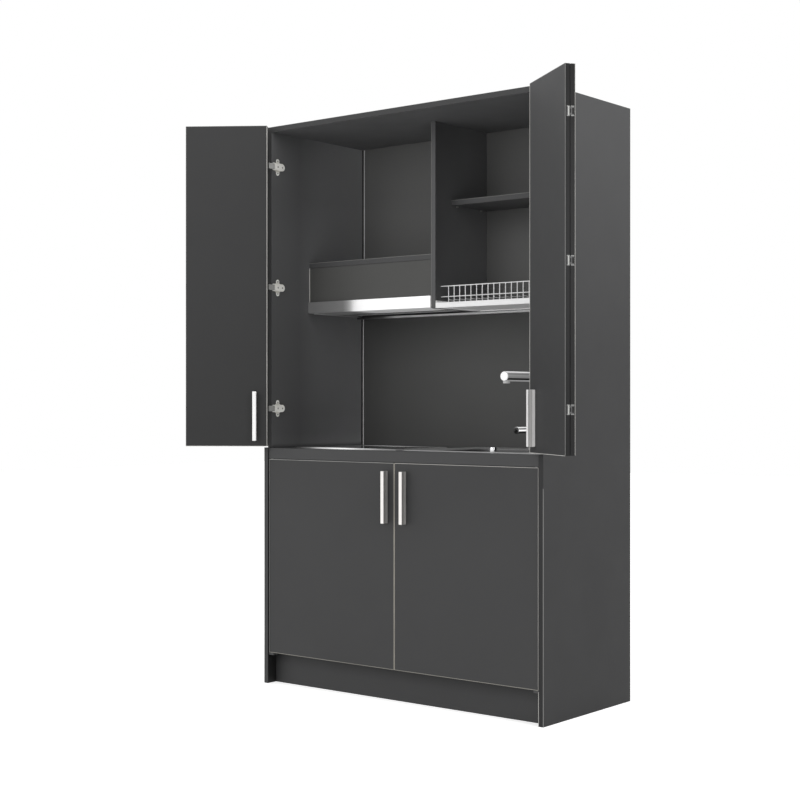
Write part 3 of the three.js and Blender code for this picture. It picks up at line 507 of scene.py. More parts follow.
finishes = {
    # the boards: one anthracite decor in lit and shaded copies, each with painted light and shade tones
    "door": melamine("door_melamine", 0.53, 0.53),
    "leftPanel": melamine("left_panel_melamine", 0.6, 2.5, sideRise=leftSideRise, sideDeep=leftSideDeep),
    "rightPanel": melamine("right_panel_melamine", rise=rightPanelRise, sheen=0.15),
    "top": melamine("top_melamine", 0.6, 1, 2.95),
    "board": melamine("board_melamine", 0.92, 1.6, 1.2),
    "partition": melamine("partition_melamine", 1.3, 2.2, sideDeep=partitionDeep),
    "back": melamine("back_melamine", 1.9, 1.9, rise=backRise, warm=0.02),
    "niche": melamine("niche_melamine", 1.25, 1.25, warm=0.02),
    "leftLeaf": melamine("left_leaf_melamine", rise=leftLeafRise),
    "rightLeaf": melamine("right_leaf_melamine", 0.97, 0.31, rise=rightLeafRise, sideRise=rightFoldRise,
                          sheen=0.12),
    "fascia": melamine("fascia_melamine", 1.05, 1.05, warm=0.03),
    "plinth": melamine("plinth_melamine", 0.57, rise=plinthRise),
    "worktop": melamine("worktop_laminate", 0.75, 0.75),
    # hinge steel: the bracket painted lighter with a painted glow; the fold steel in painted light and
    # shade tones; the pocket black as painted shade
    "hinge": plainSurface("nickel_plate", (0.28, 0.28, 0.27), 0.4, 0.3),
    "bracket": plainSurface("bracket_nickel_painted_light", (0.8, 0.79, 0.75), 0.4, 0.05, paintedGlow=0.08),
    "foldHinge": plainSurface("fold_hinge_painted_shade", grey(0.07), 0.5, 0.2),
    "foldPlate": plainSurface("fold_plate_steel", (0.45, 0.45, 0.43), 0.45, 0.1),
    "foldPocket": plainSurface("fold_pocket_painted_shade", grey(0.01), 0.7, shine=0.05),
    "foldBar": plainSurface("fold_bar_steel", (0.18, 0.18, 0.175), 0.45, 0.1),
    # handles: one brushed metal in lit and shaded copies; the fronts a painted highlight, the upper
    # handles painted light
    "handle": brushedMetal("brushed_handle", (0.38, 0.37, 0.36), 0.34, brushedUp, 0.9, front=2.2),
    "handleBody": brushedMetal("handle_body", (0.3, 0.29, 0.28), 0.42, brushedUp, 0.2),
    "handleBase": brushedMetal("handle_base", (0.4, 0.39, 0.38), 0.42, brushedUp, 0.2),
    "upperHandleBase": brushedMetal("upper_handle_base", (0.85, 0.84, 0.83), 0.42, brushedUp, 0.1),
    "upperHandle": brushedMetal("upper_handle", (0.98, 0.97, 0.96), 0.4, brushedUp, 0.1),
    "upperHandleBody": brushedMetal("upper_handle_body", (0.6, 0.59, 0.58), 0.42, brushedUp, 0.1),
    # visor, tray and strip: painted highlights, shade and glow
    "visor": brushedMetal("visor_steel", grey(0.98), 0.3, brushedAcross, 0.5, under=1.04,
                          across=visorAcross, paintedGlow=0.25),
    "tray": brushedMetal("tray_steel", grey(0.95), 0.35, brushedAcross, 0.15, front=0.88,
                         under=1.04, paintedGlow=0.07),
    "strip": brushedMetal("strip_steel", grey(0.95), 0.4, brushedAcross, 0.1, across=stripAcross),
    # basket wires: one steel, the back wires dark as painted shade
    "wire": brushedMetal("wire_steel", grey(0.92), 0.35, (200, 200, 200), 0.1),
    "wireBack": plainSurface("back_wire_painted_shade", grey(0.12), 0.4, 0.3),
    "screw": plainSurface("screw_steel", (0.3, 0.3, 0.29), 0.35, 0.5),
    "casing": plainSurface("casing_paint", grey(0.5), 0.5),
    # sink: painted shade inside the bowl
    "sink": brushedMetal("sink_satin", grey(0.38), 0.5, satin, 0.5, rise=bowlRise),
    "deck": brushedMetal("deck_satin", grey(0.44), 0.5, satin, 0.3),
    "chrome": plainSurface("tap_chrome", (0.8, 0.8, 0.81), 0.1, 1, **polished),
    # tap chrome: painted reflection bands and a painted glow
    "spoutChrome": paintedReflectionBands("spout_chrome", spoutPaintedReflections, 0.25, paintedGlow=0.5),
    "leverChrome": paintedReflectionBands("lever_chrome", leverPaintedReflections, 0.25, paintedGlow=1),
    "columnChrome": paintedReflectionBands("column_chrome", columnPaintedReflections, 0.18, 0.5),
    "tipChrome": plainSurface("tap_tip_chrome", grey(0.98), 0.35, 0.2, paintedGlow=0.18, **polished),
    "glass": plainSurface("hob_glass", (0.012, 0.012, 0.013), 0.06, 0, 60, 0.000004, 0.1),
    # hob frame: a painted highlight streak and a painted glow
    "trim": brushedMetal("hob_trim", grey(0.98), 0.35, brushedAcross, 0.1, across=trimAcross,
                         paintedGlow=0.35),
    "print": plainSurface("hob_print", grey(0.2), 0.4),
    "black": plainSurface("black_plastic", (0.02, 0.02, 0.021), 0.45),
    "white": plainSurface("white_plastic", (0.95, 0.94, 0.92), **bandGrain),
    "filter": wovenMesh("filter_mesh", filterLook),
}
for toneName, colour in paintedHighlightTones.items():
    finishes[toneName] = plainSurface("edge_" + toneName, colour, **bandGrain)
print("finishes made:", len(finishes))

# finishes of the CAD nodes, and small rounded edges
finishOfNode = {
    "left_side_panel": "leftPanel", "right_side_panel": "rightPanel", "top_panel": "top",
    "back_panel": "back", "niche_panel": "niche", "base_panel": "board", "plinth_board": "plinth",
    "worktop": "worktop", "upper_partition": "partition", "hood_shelf": "board",
    "dish_shelf": "board", "hood_fascia": "fascia", "hood_visor": "visor", "hood_casing": "casing",
    "hood_filter": "filter", "hood_fan": "black", "drip_tray": "tray", "rack_frame": "tray",
    "sink_waste": "sink", "hob_housing": "black", "waste_trap": "white",
}
metalNodes = ("visor", "tray")
edgeRound = {
    "board": 0.6 * mm, "metal": 0.35 * mm,
    "weld": 0.01 * mm,              # points closer than this are one
    "sharp": math.radians(40),      # edges sharper than this are rounded
}


def finishFor(name):
    if name in finishOfNode:
        return finishOfNode[name]
    if "_fold_hinge_" in name:
        return "foldHinge"
    if name.endswith("_leaf"):
        return name.split("_")[0] + "Leaf"
    if name.endswith("_door"):
        return "door"
    return "hinge"


def softenEdges(piece, width):
    weld = piece.modifiers.new("weld", "WELD")
    weld.merge_threshold = edgeRound["weld"]
    bevel = piece.modifiers.new("round", "BEVEL")
    bevel.width = width
    bevel.segments = 2
    bevel.limit_method = "ANGLE"
    bevel.angle_limit = edgeRound["sharp"]


for name, node in nodes.items():
    finish = finishes[finishFor(name)]
    node.data.materials.clear()
    node.data.materials.append(finish)
    if "melamine" in finish.name or "laminate" in finish.name:
        softenEdges(node, edgeRound["board"])
    elif finishFor(name) in metalNodes:
        softenEdges(node, edgeRound["metal"])
print("CAD nodes finished")


# places read from the frame, in millimetres
def boxOf(name):
    low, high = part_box(name)
    return {axis + end: value / mm for end, corner in (("0", low), ("1", high))
            for axis, value in zip("xyz", corner)}


def middleOf(box):
    return [(box[axis + "0"] + box[axis + "1"]) / 2 for axis in "xyz"]


def jointPlace(name):
    joint = next(j for j in frame["record"]["behaviour"]["joints"] if j["name"] == name)
    return [value / mm for value in joint["pos_m"]]


# the folded pairs: along runs from the hinge to the fold, across from the back of the outer
# leaf to the front of the inner one
leafShape = {
    "openAngle": 144.3,                         # degrees
    "start": 4.6, "end": 298.35,                # along
    "outerFront": -11.8, "innerFront": 20.7,    # across
}


def leafPlace(side, s):
    hinge = jointPlace(side + "_door_swing")
    openAngle = math.radians(leafShape["openAngle"])

    def place(along, across, z):
        inward = math.cos(openAngle) * along + math.sin(openAngle) * across
        forward = math.sin(openAngle) * along - math.cos(openAngle) * across
        return hinge[0] - s * inward, hinge[1] - forward, z
    return place


# thin light edge bands, as they catch the light in the photograph
# the beads are painted highlights, each edge's tone set by how it catches the light
edgeShape = {
    "bead": 1.1, "brightBead": 1.6, "inset": 0.4,
    "outerInset": 0.9,      # at the part's outermost corners, so that it keeps its size
    "freeProud": 0.5,       # how far the leaf's free edge stands out
    "frontDrop": 105,       # from the worktop's top down to the right panel's front band
    "profileWide": 10.5, "profileThick": 2, "profileEnd": 0.5, "profileBead": 1.5,
}
doorHighlightTones = {
    "left": {"top": "soft", "bottom": "beigeSoft", "left": "faint", "right": "beigeSoft"},
    "right": {"top": "clear", "bottom": "beigeSoft", "left": "beige", "right": "clear"},
}


def addEdge(name, finish, body, start, end, radius=edgeShape["bead"]):
    bm = bmesh.new()
    addTube(bm, (start, end), radius)
    linkMesh(name, bm, finish, body, True)


def doorEdges(side):
    door, inset = boxOf("lower_" + side + "_door"), edgeShape["inset"]
    x0, x1 = door["x0"] + inset, door["x1"] - inset
    z0, z1 = door["z0"] + inset, door["z1"] - inset
    y = door["y0"] + inset
    edges = {
        "top": ((x0, y, z1), (x1, y, z1)), "bottom": ((x0, y, z0), (x1, y, z0)),
        "left": ((x0, y, z0), (x0, y, z1)), "right": ((x1, y, z0), (x1, y, z1)),
    }
    for edge, ends in edges.items():
        addEdge("{}_door_{}_edge".format(side, edge), doorHighlightTones[side][edge],
                "lower_" + side + "_door_body", *ends)


def leafEdges(side, s):
    e, box, place = edgeShape, boxOf("left_outer_leaf"), leafPlace(side, s)
    low, high = box["z0"] + e["inset"], box["z1"] - e["inset"]
    free, fold = leafShape["start"] + e["inset"], leafShape["end"] - e["outerInset"]
    inner, outer = leafShape["innerFront"] - e["outerInset"], leafShape["outerFront"] + e["outerInset"]
    proud = inner + e["freeProud"]
    edges = (
        ("free", "bright", (free, proud, low), (free, proud, high)),
        ("fold", "faint", (fold, inner, low), (fold, inner, high)),
        ("bottom", "bright", (free, inner, low), (fold, inner, low)),
        ("top", "faint", (free, inner, high), (fold, inner, high)))
    for edge, tone, start, end in edges:
        addEdge("{}_leaf_{}_edge".format(side, edge), tone, side + "_inner_leaf_body",
                place(*start), place(*end))
    addEdge(side + "_leaf_outer_edge", "clear", side + "_outer_leaf_body",
            place(fold, outer, low), place(fold, outer, high))


def carcassEdges():
    e, i = edgeShape, edgeShape["inset"]
    panel, partition, fascia = map(boxOf, ("right_side_panel", "upper_partition", "hood_fascia"))
    outside, front = panel["x1"] - i, panel["y0"] + i
    # beads along the carcass and shelf edges as painted highlights
    uprights = (
        ("fascia_edge", "bright", boxOf("niche_panel")["x0"] + i, fascia["y0"] + i,
         fascia["z0"], fascia["z1"]),
        ("partition_edge", "faint", partition["x0"] + i, partition["y0"] + i,
         partition["z0"], partition["z1"]),
        ("panel_front_edge", "faint", outside, front, 0, boxOf("worktop")["z1"] - e["frontDrop"]),
        ("panel_foot_edge", "clear", panel["x0"] + i, front, 0, boxOf("plinth_board")["z1"]),
        ("panel_back_edge", "faint", outside, panel["y1"] - e["bead"], 0, panel["z1"]))
    for name, tone, x, y, z0, z1 in uprights:
        radius = e["brightBead"] if tone == "bright" else e["bead"]
        addEdge(name, tone, "root", (x, y, z0), (x, y, z1), radius)
    for name in ("hood_shelf", "dish_shelf"):
        board = boxOf(name)
        y, z = board["y0"] + i, board["z1"] - i
        addEdge(name + "_edge", "faint", "root", (board["x0"], y, z), (board["x1"], y, z))


# where the left side panel meets the back; a white bead along each corner is a painted highlight
def cornerProfiles():
    e, niche = edgeShape, boxOf("niche_panel")
    x, end = niche["x0"] + e["profileWide"], e["profileEnd"]
    corners = (
        ("upper_corner", boxOf("back_panel")["y0"], boxOf("hood_shelf")["z1"], boxOf("top_panel")["z0"]),
        ("niche_corner", niche["y0"], niche["z0"], niche["z1"]))
    for name, y, z0, z1 in corners:
        bm = bmesh.new()
        addSlab(bm, niche["x0"], x, y - e["profileThick"], y, z0 + end, z1 - end)
        linkMesh(name + "_profile", bm, "leftPanel", "root")
        bead = y - e["profileBead"]
        addEdge(name + "_edge", "white", "root", (x, bead, z0 + 2 * end), (x, bead, z1 - 2 * end),
                e["brightBead"])


for side, s in sides:
    doorEdges(side)
    leafEdges(side, s)
carcassEdges()
cornerProfiles()
print("edge bands made")


# handles: a front flange painted bright as a highlight, on a narrower body
handleShape = {
    "flange": 3, "foot": 10, "groove": 1.5, "grooveHalf": 4, "bodyHalf": 5.2, "round": 0.5,
    "lap": 1, "footGap": 0.8,
    "upperAlong": 47.6, "upperGap": 0.3,    # where the upper ones stand on the inner leaf
}


def makeHandle(name, body, place, half, depth, z0, z1, finish="handle"):
    h = handleShape
    neck, lap, bar = depth - h["flange"], h["lap"], h["foot"] + h["footGap"]
    # the black neck and line slabs are painted shade in the grooves; front, bar and foot are one metal in
    # lit and shaded copies
    parts = (
        ("front", finish, half, neck, depth),
        ("neck", "black", h["grooveHalf"], neck - h["groove"] - lap, neck + lap),
        ("bar", finish + "Body", h["bodyHalf"], bar, neck - h["groove"]),
        ("line", "black", h["grooveHalf"], h["foot"] - lap, bar + lap),
        ("foot", finish + "Base", h["bodyHalf"], 0, h["foot"]),
    )
    for part, tone, reach, near, far in parts:
        bm = bmesh.new()
        addSlab(bm, -reach, reach, near, far, z0, z1, h["round"], place)
        piece = linkMesh(name + "_" + part, bm, tone, body)
        if part == "front":
            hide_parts(name)


def makeHandles():
    along, out0 = handleShape["upperAlong"], leafShape["innerFront"] + handleShape["upperGap"]
    for side, s in sides:
        name = "lower_" + side + "_handle"
        box = boxOf(name)
        middle = middleOf(box)[0]

        def onDoor(across, out, z, middle=middle, foot=box["y1"]):
            return middle + across, foot - out, z
        half, depth = (box["x1"] - box["x0"]) / 2, box["y1"] - box["y0"]
        makeHandle(name, "lower_" + side + "_door_body", onDoor, half, depth, box["z0"], box["z1"])

        name = side + "_upper_handle"
        upper = boxOf(name)
        leaf = leafPlace(side, s)

        def onLeaf(across, out, z, leaf=leaf):
            return leaf(along + across, out0 + out, z)
        makeHandle(name, side + "_inner_leaf_body", onLeaf, half, depth, upper["z0"], upper["z1"],
                   "upperHandle")


makeHandles()
print("handles made")


# concealed hinges: a cross-shaped plate on the side panel, a channel arm and its screws; the plate and
# arm are painted light with a painted glow
hingeNumbers = (1, 2, 3)
bracketShape = {
    "post": 31, "postHalf": 8, "postHigh": 30, "lobeDepth": 20, "lobeHigh": 18, "plate": 1.5,
    "armFront": 10, "armEnd": 60, "armHalf": 13, "armStart": 0.3, "channel": 3, "rim": 2.5,
    "webFront": 7.5, "webBack": 16, "lugStart": 10.4, "lugFront": -1, "lugReach": 6.2, "lap": 0.5,
    "screwHigh": 22, "screwFront": 25, "screwBack": 48,
    "screw": ((3, 0), (3, 0.7), (2.5, 1.1), (1.1, 1.1), (0.9, 0.5)),    # (radius, height)
}


def addBracket(bm, place, z, reach):
    b = bracketShape
    half, end, floor = b["armHalf"], b["armEnd"] - b["armHalf"], reach - b["channel"]
    high = b["postHigh"] - b["postHalf"]
    post = [(b["post"] + u, v) for u, v in
            arc((0, high), b["postHalf"], 0, 180, 8) + arc((0, -high), b["postHalf"], 180, 360, 8)]
    lobe = [(b["post"] + u * b["lobeDepth"], v * b["lobeHigh"]) for u, v in arc((0, 0), 1, 0, 350, 35)]
    arm = [(b["armFront"], -half)] + arc((end, 0), half, -90, 90, 12) + [(b["armFront"], half)]
    for outline, near, far in ((post, 0, b["plate"]), (lobe, 0, b["plate"]), (arm, b["armStart"], floor)):
        addLoops(bm, [[place(out, y, z + h) for y, h in outline] for out in (near, far)])
    for low, high in ((-half, b["rim"] - half), (half - b["rim"], half)):
        addSlab(bm, b["lap"], reach, b["armFront"], end, z + low, z + high, place=place)
    addSlab(bm, floor - b["lap"], reach, b["webFront"], b["webBack"], z - half, z + half, place=place)
    for low, high in ((-half, -b["lugStart"]), (b["lugStart"], half)):
        addSlab(bm, reach - b["lugReach"], reach, b["lugFront"], b["webBack"], z + low, z + high,
                place=place)


def makeBrackets():
    b, top = bracketShape, boxOf("top_panel")
    for side, s in sides:
        def place(out, y, z, s=s):
            return s * (top["x1"] - out), top["y0"] + y, z
        for number in hingeNumbers:
            name = "{}_hinge_bracket_{}".format(side, number)
            box = boxOf(name)
            z, reach = middleOf(box)[2], box["x1"] - box["x0"]
            bm = bmesh.new()
            addBracket(bm, place, z, reach)
            piece = linkMesh(name + "_detail", bm, "bracket", "root")
            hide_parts(name)
            floor = reach - b["channel"]
            screws = [(b["plate"], b["post"], z + sign * b["screwHigh"]) for sign in (-1, 1)]
            screws += [(floor, b["screwBack"], z), (floor, b["screwFront"], z)]
            bm = bmesh.new()
            for screw in screws:
                addTurned(bm, [(r, -s * h) for r, h in b["screw"]], place(*screw), "x", 20)
            linkMesh(name + "_screws", bm, "screw", "root", True)


makeBrackets()
print("hinge brackets made")


# plates, bars and pockets let into the fold edges; the steel in painted light and shade tones, the
# pockets black slabs of painted shade
foldPlateShape = {
    "sunk": 1, "round": 0.1,
    # piece, finish, leaf, how far it stands out, and its spans across the edge and up it
    "parts": (
        ("fold_plates", "foldPlate", "inner", 0.3, ((7.1, 10.6, -13, 13),)),
        ("fold_wings", "foldHinge", "inner", 0.2, ((10.7, 15.2, -12, 12),)),
        ("fold_ends", "foldBar", "inner", 0.25, ((5.9, 15.2, 12.2, 15.2), (5.9, 15.2, -15.2, -12.2))),
        ("fold_bars", "foldBar", "outer", 0.9, ((-8, 2.6, 12.2, 15.2), (-8, 2.6, -15.2, -12.2))),
        ("fold_pockets", "foldPocket", "outer", 0.85, ((-6.4, -1.8, -9, 9),)),
    ),
}


def makeFoldPlates():
    f, end = foldPlateShape, leafShape["end"]
    for side, s in sides:
        place = leafPlace(side, s)
        for name, finish, leaf, proud, spans in f["parts"]:
            bm = bmesh.new()
            for number in hingeNumbers:
                z = middleOf(boxOf("{}_fold_hinge_{}".format(side, number)))[2]
                for near, far, low, high in spans:
                    addSlab(bm, end - f["sunk"], end + proud, near, far, z + low, z + high,
                            f["round"], place)
            linkMesh(side + "_" + name, bm, finish, side + "_" + leaf + "_leaf_body")


makeFoldPlates()
print("fold plates made")


# the plate basket's round wires; the front ones reach down to the tray, and the back ones are dark as
# painted shade
basketShape = {
    "wire": 1.6, "pitch": 24, "first": 30, "gap": 1, "bend": 6, "reach": 30, "footRise": 3.5,
    "railStandoff": 1.8, "railLap": 0.3, "railIn": 2, "midDrop": 38.5, "trayGap": 1,
    "foot1": 61.5, "foot2": 151.5,
}


def makeBasket():
    b, box, tray = basketShape, boxOf("plate_basket"), boxOf("drip_tray")["z1"]
    wire, turn = b["wire"], b["bend"]
    front, back = box["y0"] + b["railStandoff"], box["y1"] - b["railStandoff"]
    low, high = box["z0"] + b["footRise"], box["z1"]
    start, end, bend = front + wire, back - wire, low + turn
    near, far = bmesh.new(), bmesh.new()
    x = box["x0"] - b["gap"] + b["first"] + wire
    while x < box["x1"] - b["first"]:
        joint = [(x, front + b["reach"], low)]
        addTube(near, [(x, start, high), (x, start, bend)]
                + [(x, u, v) for u, v in arc((start + turn, bend), turn, 180, 270, 4)] + joint, wire)
        addTube(near, [(x, start, bend), (x, start, tray + b["trayGap"])], wire)
        addTube(far, joint + [(x, u, v) for u, v in arc((end - turn, bend), turn, 270, 360, 4)]
                + [(x, end, high)], wire)
        x += b["pitch"]
    rail = front - b["railLap"]
    for bm, y, z in ((near, rail, high - b["railIn"]), (near, rail, high - b["midDrop"]),
                     (near, rail, tray + b["railIn"]), (far, back - b["railLap"], high - b["railIn"]),
                     (far, front + b["foot1"], low - wire), (far, front + b["foot2"], low - wire)):
        addTube(bm, ((box["x0"], y, z), (box["x1"], y, z)), wire)
    piece = linkMesh("basket_front_wires", near, "wire", "root", True)
    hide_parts("plate_basket")
    linkMesh("basket_back_wires", far, "wireBack", "root", True)


makeBasket()
print("basket made")


# light strip along the wall behind the hood and the tray, its finish darker to the left as painted shade
wallStripShape = {"gap": 0.5, "deep": 29, "behind": 0.3, "high": 7, "round": 0.5}


def makeWallStrip():
    w, niche = wallStripShape, boxOf("niche_panel")
    y, z = niche["y0"], niche["z1"]
    bm = bmesh.new()
    addSlab(bm, niche["x0"] + w["gap"], niche["x1"] - w["gap"], y - w["deep"], y - w["behind"],
            z - w["high"], z - w["gap"], w["round"])
    linkMesh("wall_strip", bm, "strip", "root")


makeWallStrip()


# shelf pins under the loose shelf
shelfPinShape = {
    "fromFront": 30, "fromBack": 40, "radius": 2.5,
    "profile": ((2.5, -2), (2.5, 7), (2.0, 7.6)),   # (radius, how far it stands out)
}


def makeShelfPins():
    p, shelf = shelfPinShape, boxOf("dish_shelf")
    z = shelf["z0"] - p["radius"]
    bm = bmesh.new()
    for x, outward in ((shelf["x0"], 1), (shelf["x1"], -1)):
        for y in (shelf["y0"] + p["fromFront"], shelf["y1"] - p["fromBack"]):
            addTurned(bm, [(r, outward * h) for r, h in p["profile"]], (x, y, z), "x", 16)
    linkMesh("shelf_pins", bm, "screw", "root", True)


makeShelfPins()
print("wall strip and shelf pins made")


# turned pieces: a profile is (radius, height) points over a base
def raised(profile, base):
    return [(radius, base + height) for radius, height in profile]


def turnedPiece(name, profile, centre, finish, body, axis="z", count=48, closed=False, smooth=True):
    bm = bmesh.new()
    addTurned(bm, profile, centre, axis, count, closed)
    return linkMesh(name, bm, finish, body, smooth)


# sink: a pressed sheet, lofted from the rolled rim down to the drain and back underneath
sinkShape = {
    "corner": 20, "leastCorner": 4, "bowlCorner": 55, "bowlFromLeft": 105, "bowlFromFront": 35,
    "bowlWidth": 360, "bowlDepth": 300, "fillet": 24, "filletSteps": 6, "lean": 3, "sheet": 1.6,
    "rimRise": 3, "floorRise": 2, "ledge": 1.2,
    "rim": ((0, 3), (0, 1), (0.4, 0.4), (1.2, 0), (7, 0), (8.4, 0.4)),      # (inset, drop)
    "rimEnd": 9.4, "underRim": 2.9,
    "lip": ((-5, 0), (-2.5, 0.5), (-0.8, 2), (0, 5)),       # (inset, drop from the ledge)
    "underLip": 6, "underOut": 6,
    "drain": 39,
    "dish": ((23, 0), (7, 0), (3, 0.6), (0, 1.6), (0, 2)),  # (beyond the drain, drop from the floor)
    "drainRing": ((44, 0.2), (43.4, 0.7), (39, 0.5), (38.4, -1), (38.4, -3), (40, -3)),
    "rosette": ((0.5, -1), (17, -1), (17, -2), (15.5, -3), (9, -3.4), (8, -2.6), (7.4, -1.4)),
    "rosetteDrop": 38,
}
knobShape = {
    "fromRight": 205, "fromFront": 21,
    "stem": ((12.4, 0), (12.4, 2.5), (11.6, 3.2), (11.6, 4.4), (12.4, 5)),      # over the ledge
    "crown": ((12.4, -3), (11.4, -1), (9, -0.2), (0.5, -0.05)),     # under the knob's top
}


def makeSink():
    q, k, box = sinkShape, knobShape, boxOf("sink_bowl")
    rim, floor, sheet = boxOf("worktop")["z1"] + q["rimRise"], box["z0"] + q["floorRise"], q["sheet"]
    ledge, top = rim - q["ledge"], floor + q["fillet"]
    x0, y0 = box["x0"] + q["bowlFromLeft"], box["y0"] + q["bowlFromFront"]
    inside = {"x0": x0, "x1": x0 + q["bowlWidth"], "y0": y0, "y1": y0 + q["bowlDepth"],
              "z0": floor, "z1": ledge}
    cx, cy, _ = middleOf(inside)

    def outer(inset, z):
        return roundedRect(box, inset, z, max(q["corner"] - inset, q["leastCorner"]))

    def bowl(inset, z):
        return roundedRect(inside, inset, z, q["bowlCorner"] - inset)

    def drain(beyond, z):
        radius, ring = q["drain"] + beyond, []
        for x, y, _ in bowl(0, z):
            a = math.atan2(y - cy, x - cx)
            ring.append((cx + radius * math.cos(a), cy + radius * math.sin(a), z))
        return ring

    def fillet(thick):
        # from the wall down to the floor, on the face that lies this far outside the bowl's
        loops = []
        for step in range(q["filletSteps"] + 1):
            a = math.pi / 2 * step / q["filletSteps"]
            loops.append(bowl(q["lean"] - thick + q["fillet"] * (1 - math.cos(a)),
                              top - thick * math.sin(a) - q["fillet"] * math.sin(a)))
        return loops
    loops = [outer(inset, rim - drop) for inset, drop in q["rim"]] + [outer(q["rimEnd"], ledge)]
    loops += [bowl(inset, ledge - drop) for inset, drop in q["lip"]] + fillet(0)
    loops += [drain(beyond, floor - drop) for beyond, drop in q["dish"]]
    loops += [drain(q["dish"][0][0], floor - sheet)] + fillet(sheet)[::-1]
    loops += [bowl(-sheet, ledge - q["underLip"]), bowl(-q["underOut"], rim - q["underRim"]),
              outer(q["rimEnd"], rim - q["underRim"])]
    bm = bmesh.new()
    addLoops(bm, loops, closed=True)
    # the sink finish paints shade inside the bowl, darkest just below the rim
    piece = linkMesh("sink_shell", bm, "sink", "root", True)
    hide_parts("sink_bowl")

    turnedPiece("drain_ring", raised(q["drainRing"], floor), (cx, cy, 0), "chrome", "root",
                count=64, closed=True)
    turnedPiece("overflow_rosette", q["rosette"], (cx, inside["y1"], rim - q["rosetteDrop"]),
                "chrome", "root", "y", 40)
    knob = raised(k["stem"], ledge) + raised(k["crown"], box["z1"])
    turnedPiece("waste_knob", knob, (box["x1"] - k["fromRight"], box["y0"] + k["fromFront"], 0),
                "chrome", "root")


# the satin steel sheet round the sink, over the worktop's right half
deckShape = {"left": 6, "gap": 0.6, "thick": 0.6, "lift": 0.02, "lap": 4, "corner": 16}


def makeDeck():
    q, sink, top = deckShape, boxOf("sink_bowl"), boxOf("worktop")
    x0, x1 = sink["x0"] + q["left"], top["x1"] - q["gap"]
    y0, y1 = top["y0"] + q["gap"], top["y1"] - q["gap"]
    low, high = top["z1"] + q["lift"], top["z1"] + q["thick"]
    inner = roundedRect(sink, q["lap"], high, q["corner"])
    cx, cy = (x0 + x1) / 2, middleOf(sink)[1]

    def outward(x, y):
        # the point where a ray from the middle meets the deck's outline
        dx, dy = x - cx, y - cy
        scale = min((x1 - cx) / abs(dx) if dx else math.inf,
                    ((y1 if dy > 0 else y0) - cy) / dy if dy else math.inf)
        return cx + dx * scale, cy + dy * scale
    outer = [outward(x, y) for x, y, _ in inner]
    bm = bmesh.new()
    addLoops(bm, [[(x, y, low) for x, y in outer], [(x, y, high) for x, y in outer],
                  inner, [(x, y, low) for x, y, _ in inner]], closed=True)
    linkMesh("sink_deck", bm, "deck", "root")


plugShape = {
    "seat": ((0.5, 0), (31, 0), (34, 2)),
    "seal": ((0, 9), (0, 22), (-0.8, 24), (-2.6, 24), (-3, 23), (-3, 11)),  # (beyond its edge, height)
    "grip": ((8.5, 9.5), (7, 11), (7, 23), (8, 26), (10, 28), (10, 30.5), (8.5, 32.4), (5, 33),
             (0.5, 33)),
}


def makePlug():
    box = boxOf("sink_plug")
    x, y, _ = middleOf(box)
    radius = (box["x1"] - box["x0"]) / 2
    seal = [(radius + beyond, height) for beyond, height in plugShape["seal"]]
    profile = [*plugShape["seat"], *seal, *plugShape["grip"]]
    piece = turnedPiece("plug_detail", raised(profile, box["z0"]), (x, y, 0), "sink", "sink_plug_body",
                        count=64)
    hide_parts("sink_plug")


makeSink()
makeDeck()
makePlug()
print("sink made")


# tap: turned column, collared lever and swivelling spout, with painted reflection bands; spout, lever and
# tip with a painted glow
tapShape = {
    "deckRise": 1.8, "sleeveLong": 50, "count": 64,
    "shank": ((0.5, 0), (13, 0), (14, 1)),
    "foot": ((14, 0), (26, 0), (26, 3), (25, 4.8), (23, 6), (18, 6.6), (17, 8)),    # over the deck
    "underLever": ((17, -1.5), (16.4, -0.5), (15, -0.4)),
    "underSleeve": ((15, -1.2), (14.2, -0.4), (9, -0.3)),
    "spindle": ((9, 0), (0.5, 0)),
    "nut": ((18, -11), (20, -10), (20, -3), (18, -2)),      # under the deck
    "collar": (20, 1.6), "bore": 15.4, "boreInset": 0.4,    # (radius, rounded edge)
    "arm": (12, 1.6), "armFront": 13, "armLap": 18,
    "pinFront": 3, "pinTip": ((0.5, 0), (3.4, 0.5), (4.6, 3)),
    "pinRoot": ((4.6, -2), (11, -0.4), (11, 1)),
    "sleeve": (15, 2.5), "tube": (16.9, 1.2), "tubeDrop": 17, "tubeFront": 2.2,
    "cap": (15.2, 1.4), "capFront": 0.05, "capBack": 3,
    "mouthDrop": 24, "mouthBack": 15,
    "outlet": ((10.5, 0), (12, 1), (12, 24)), "screen": ((9.6, -0.2), (9.6, 2)),    # over the mouth
}


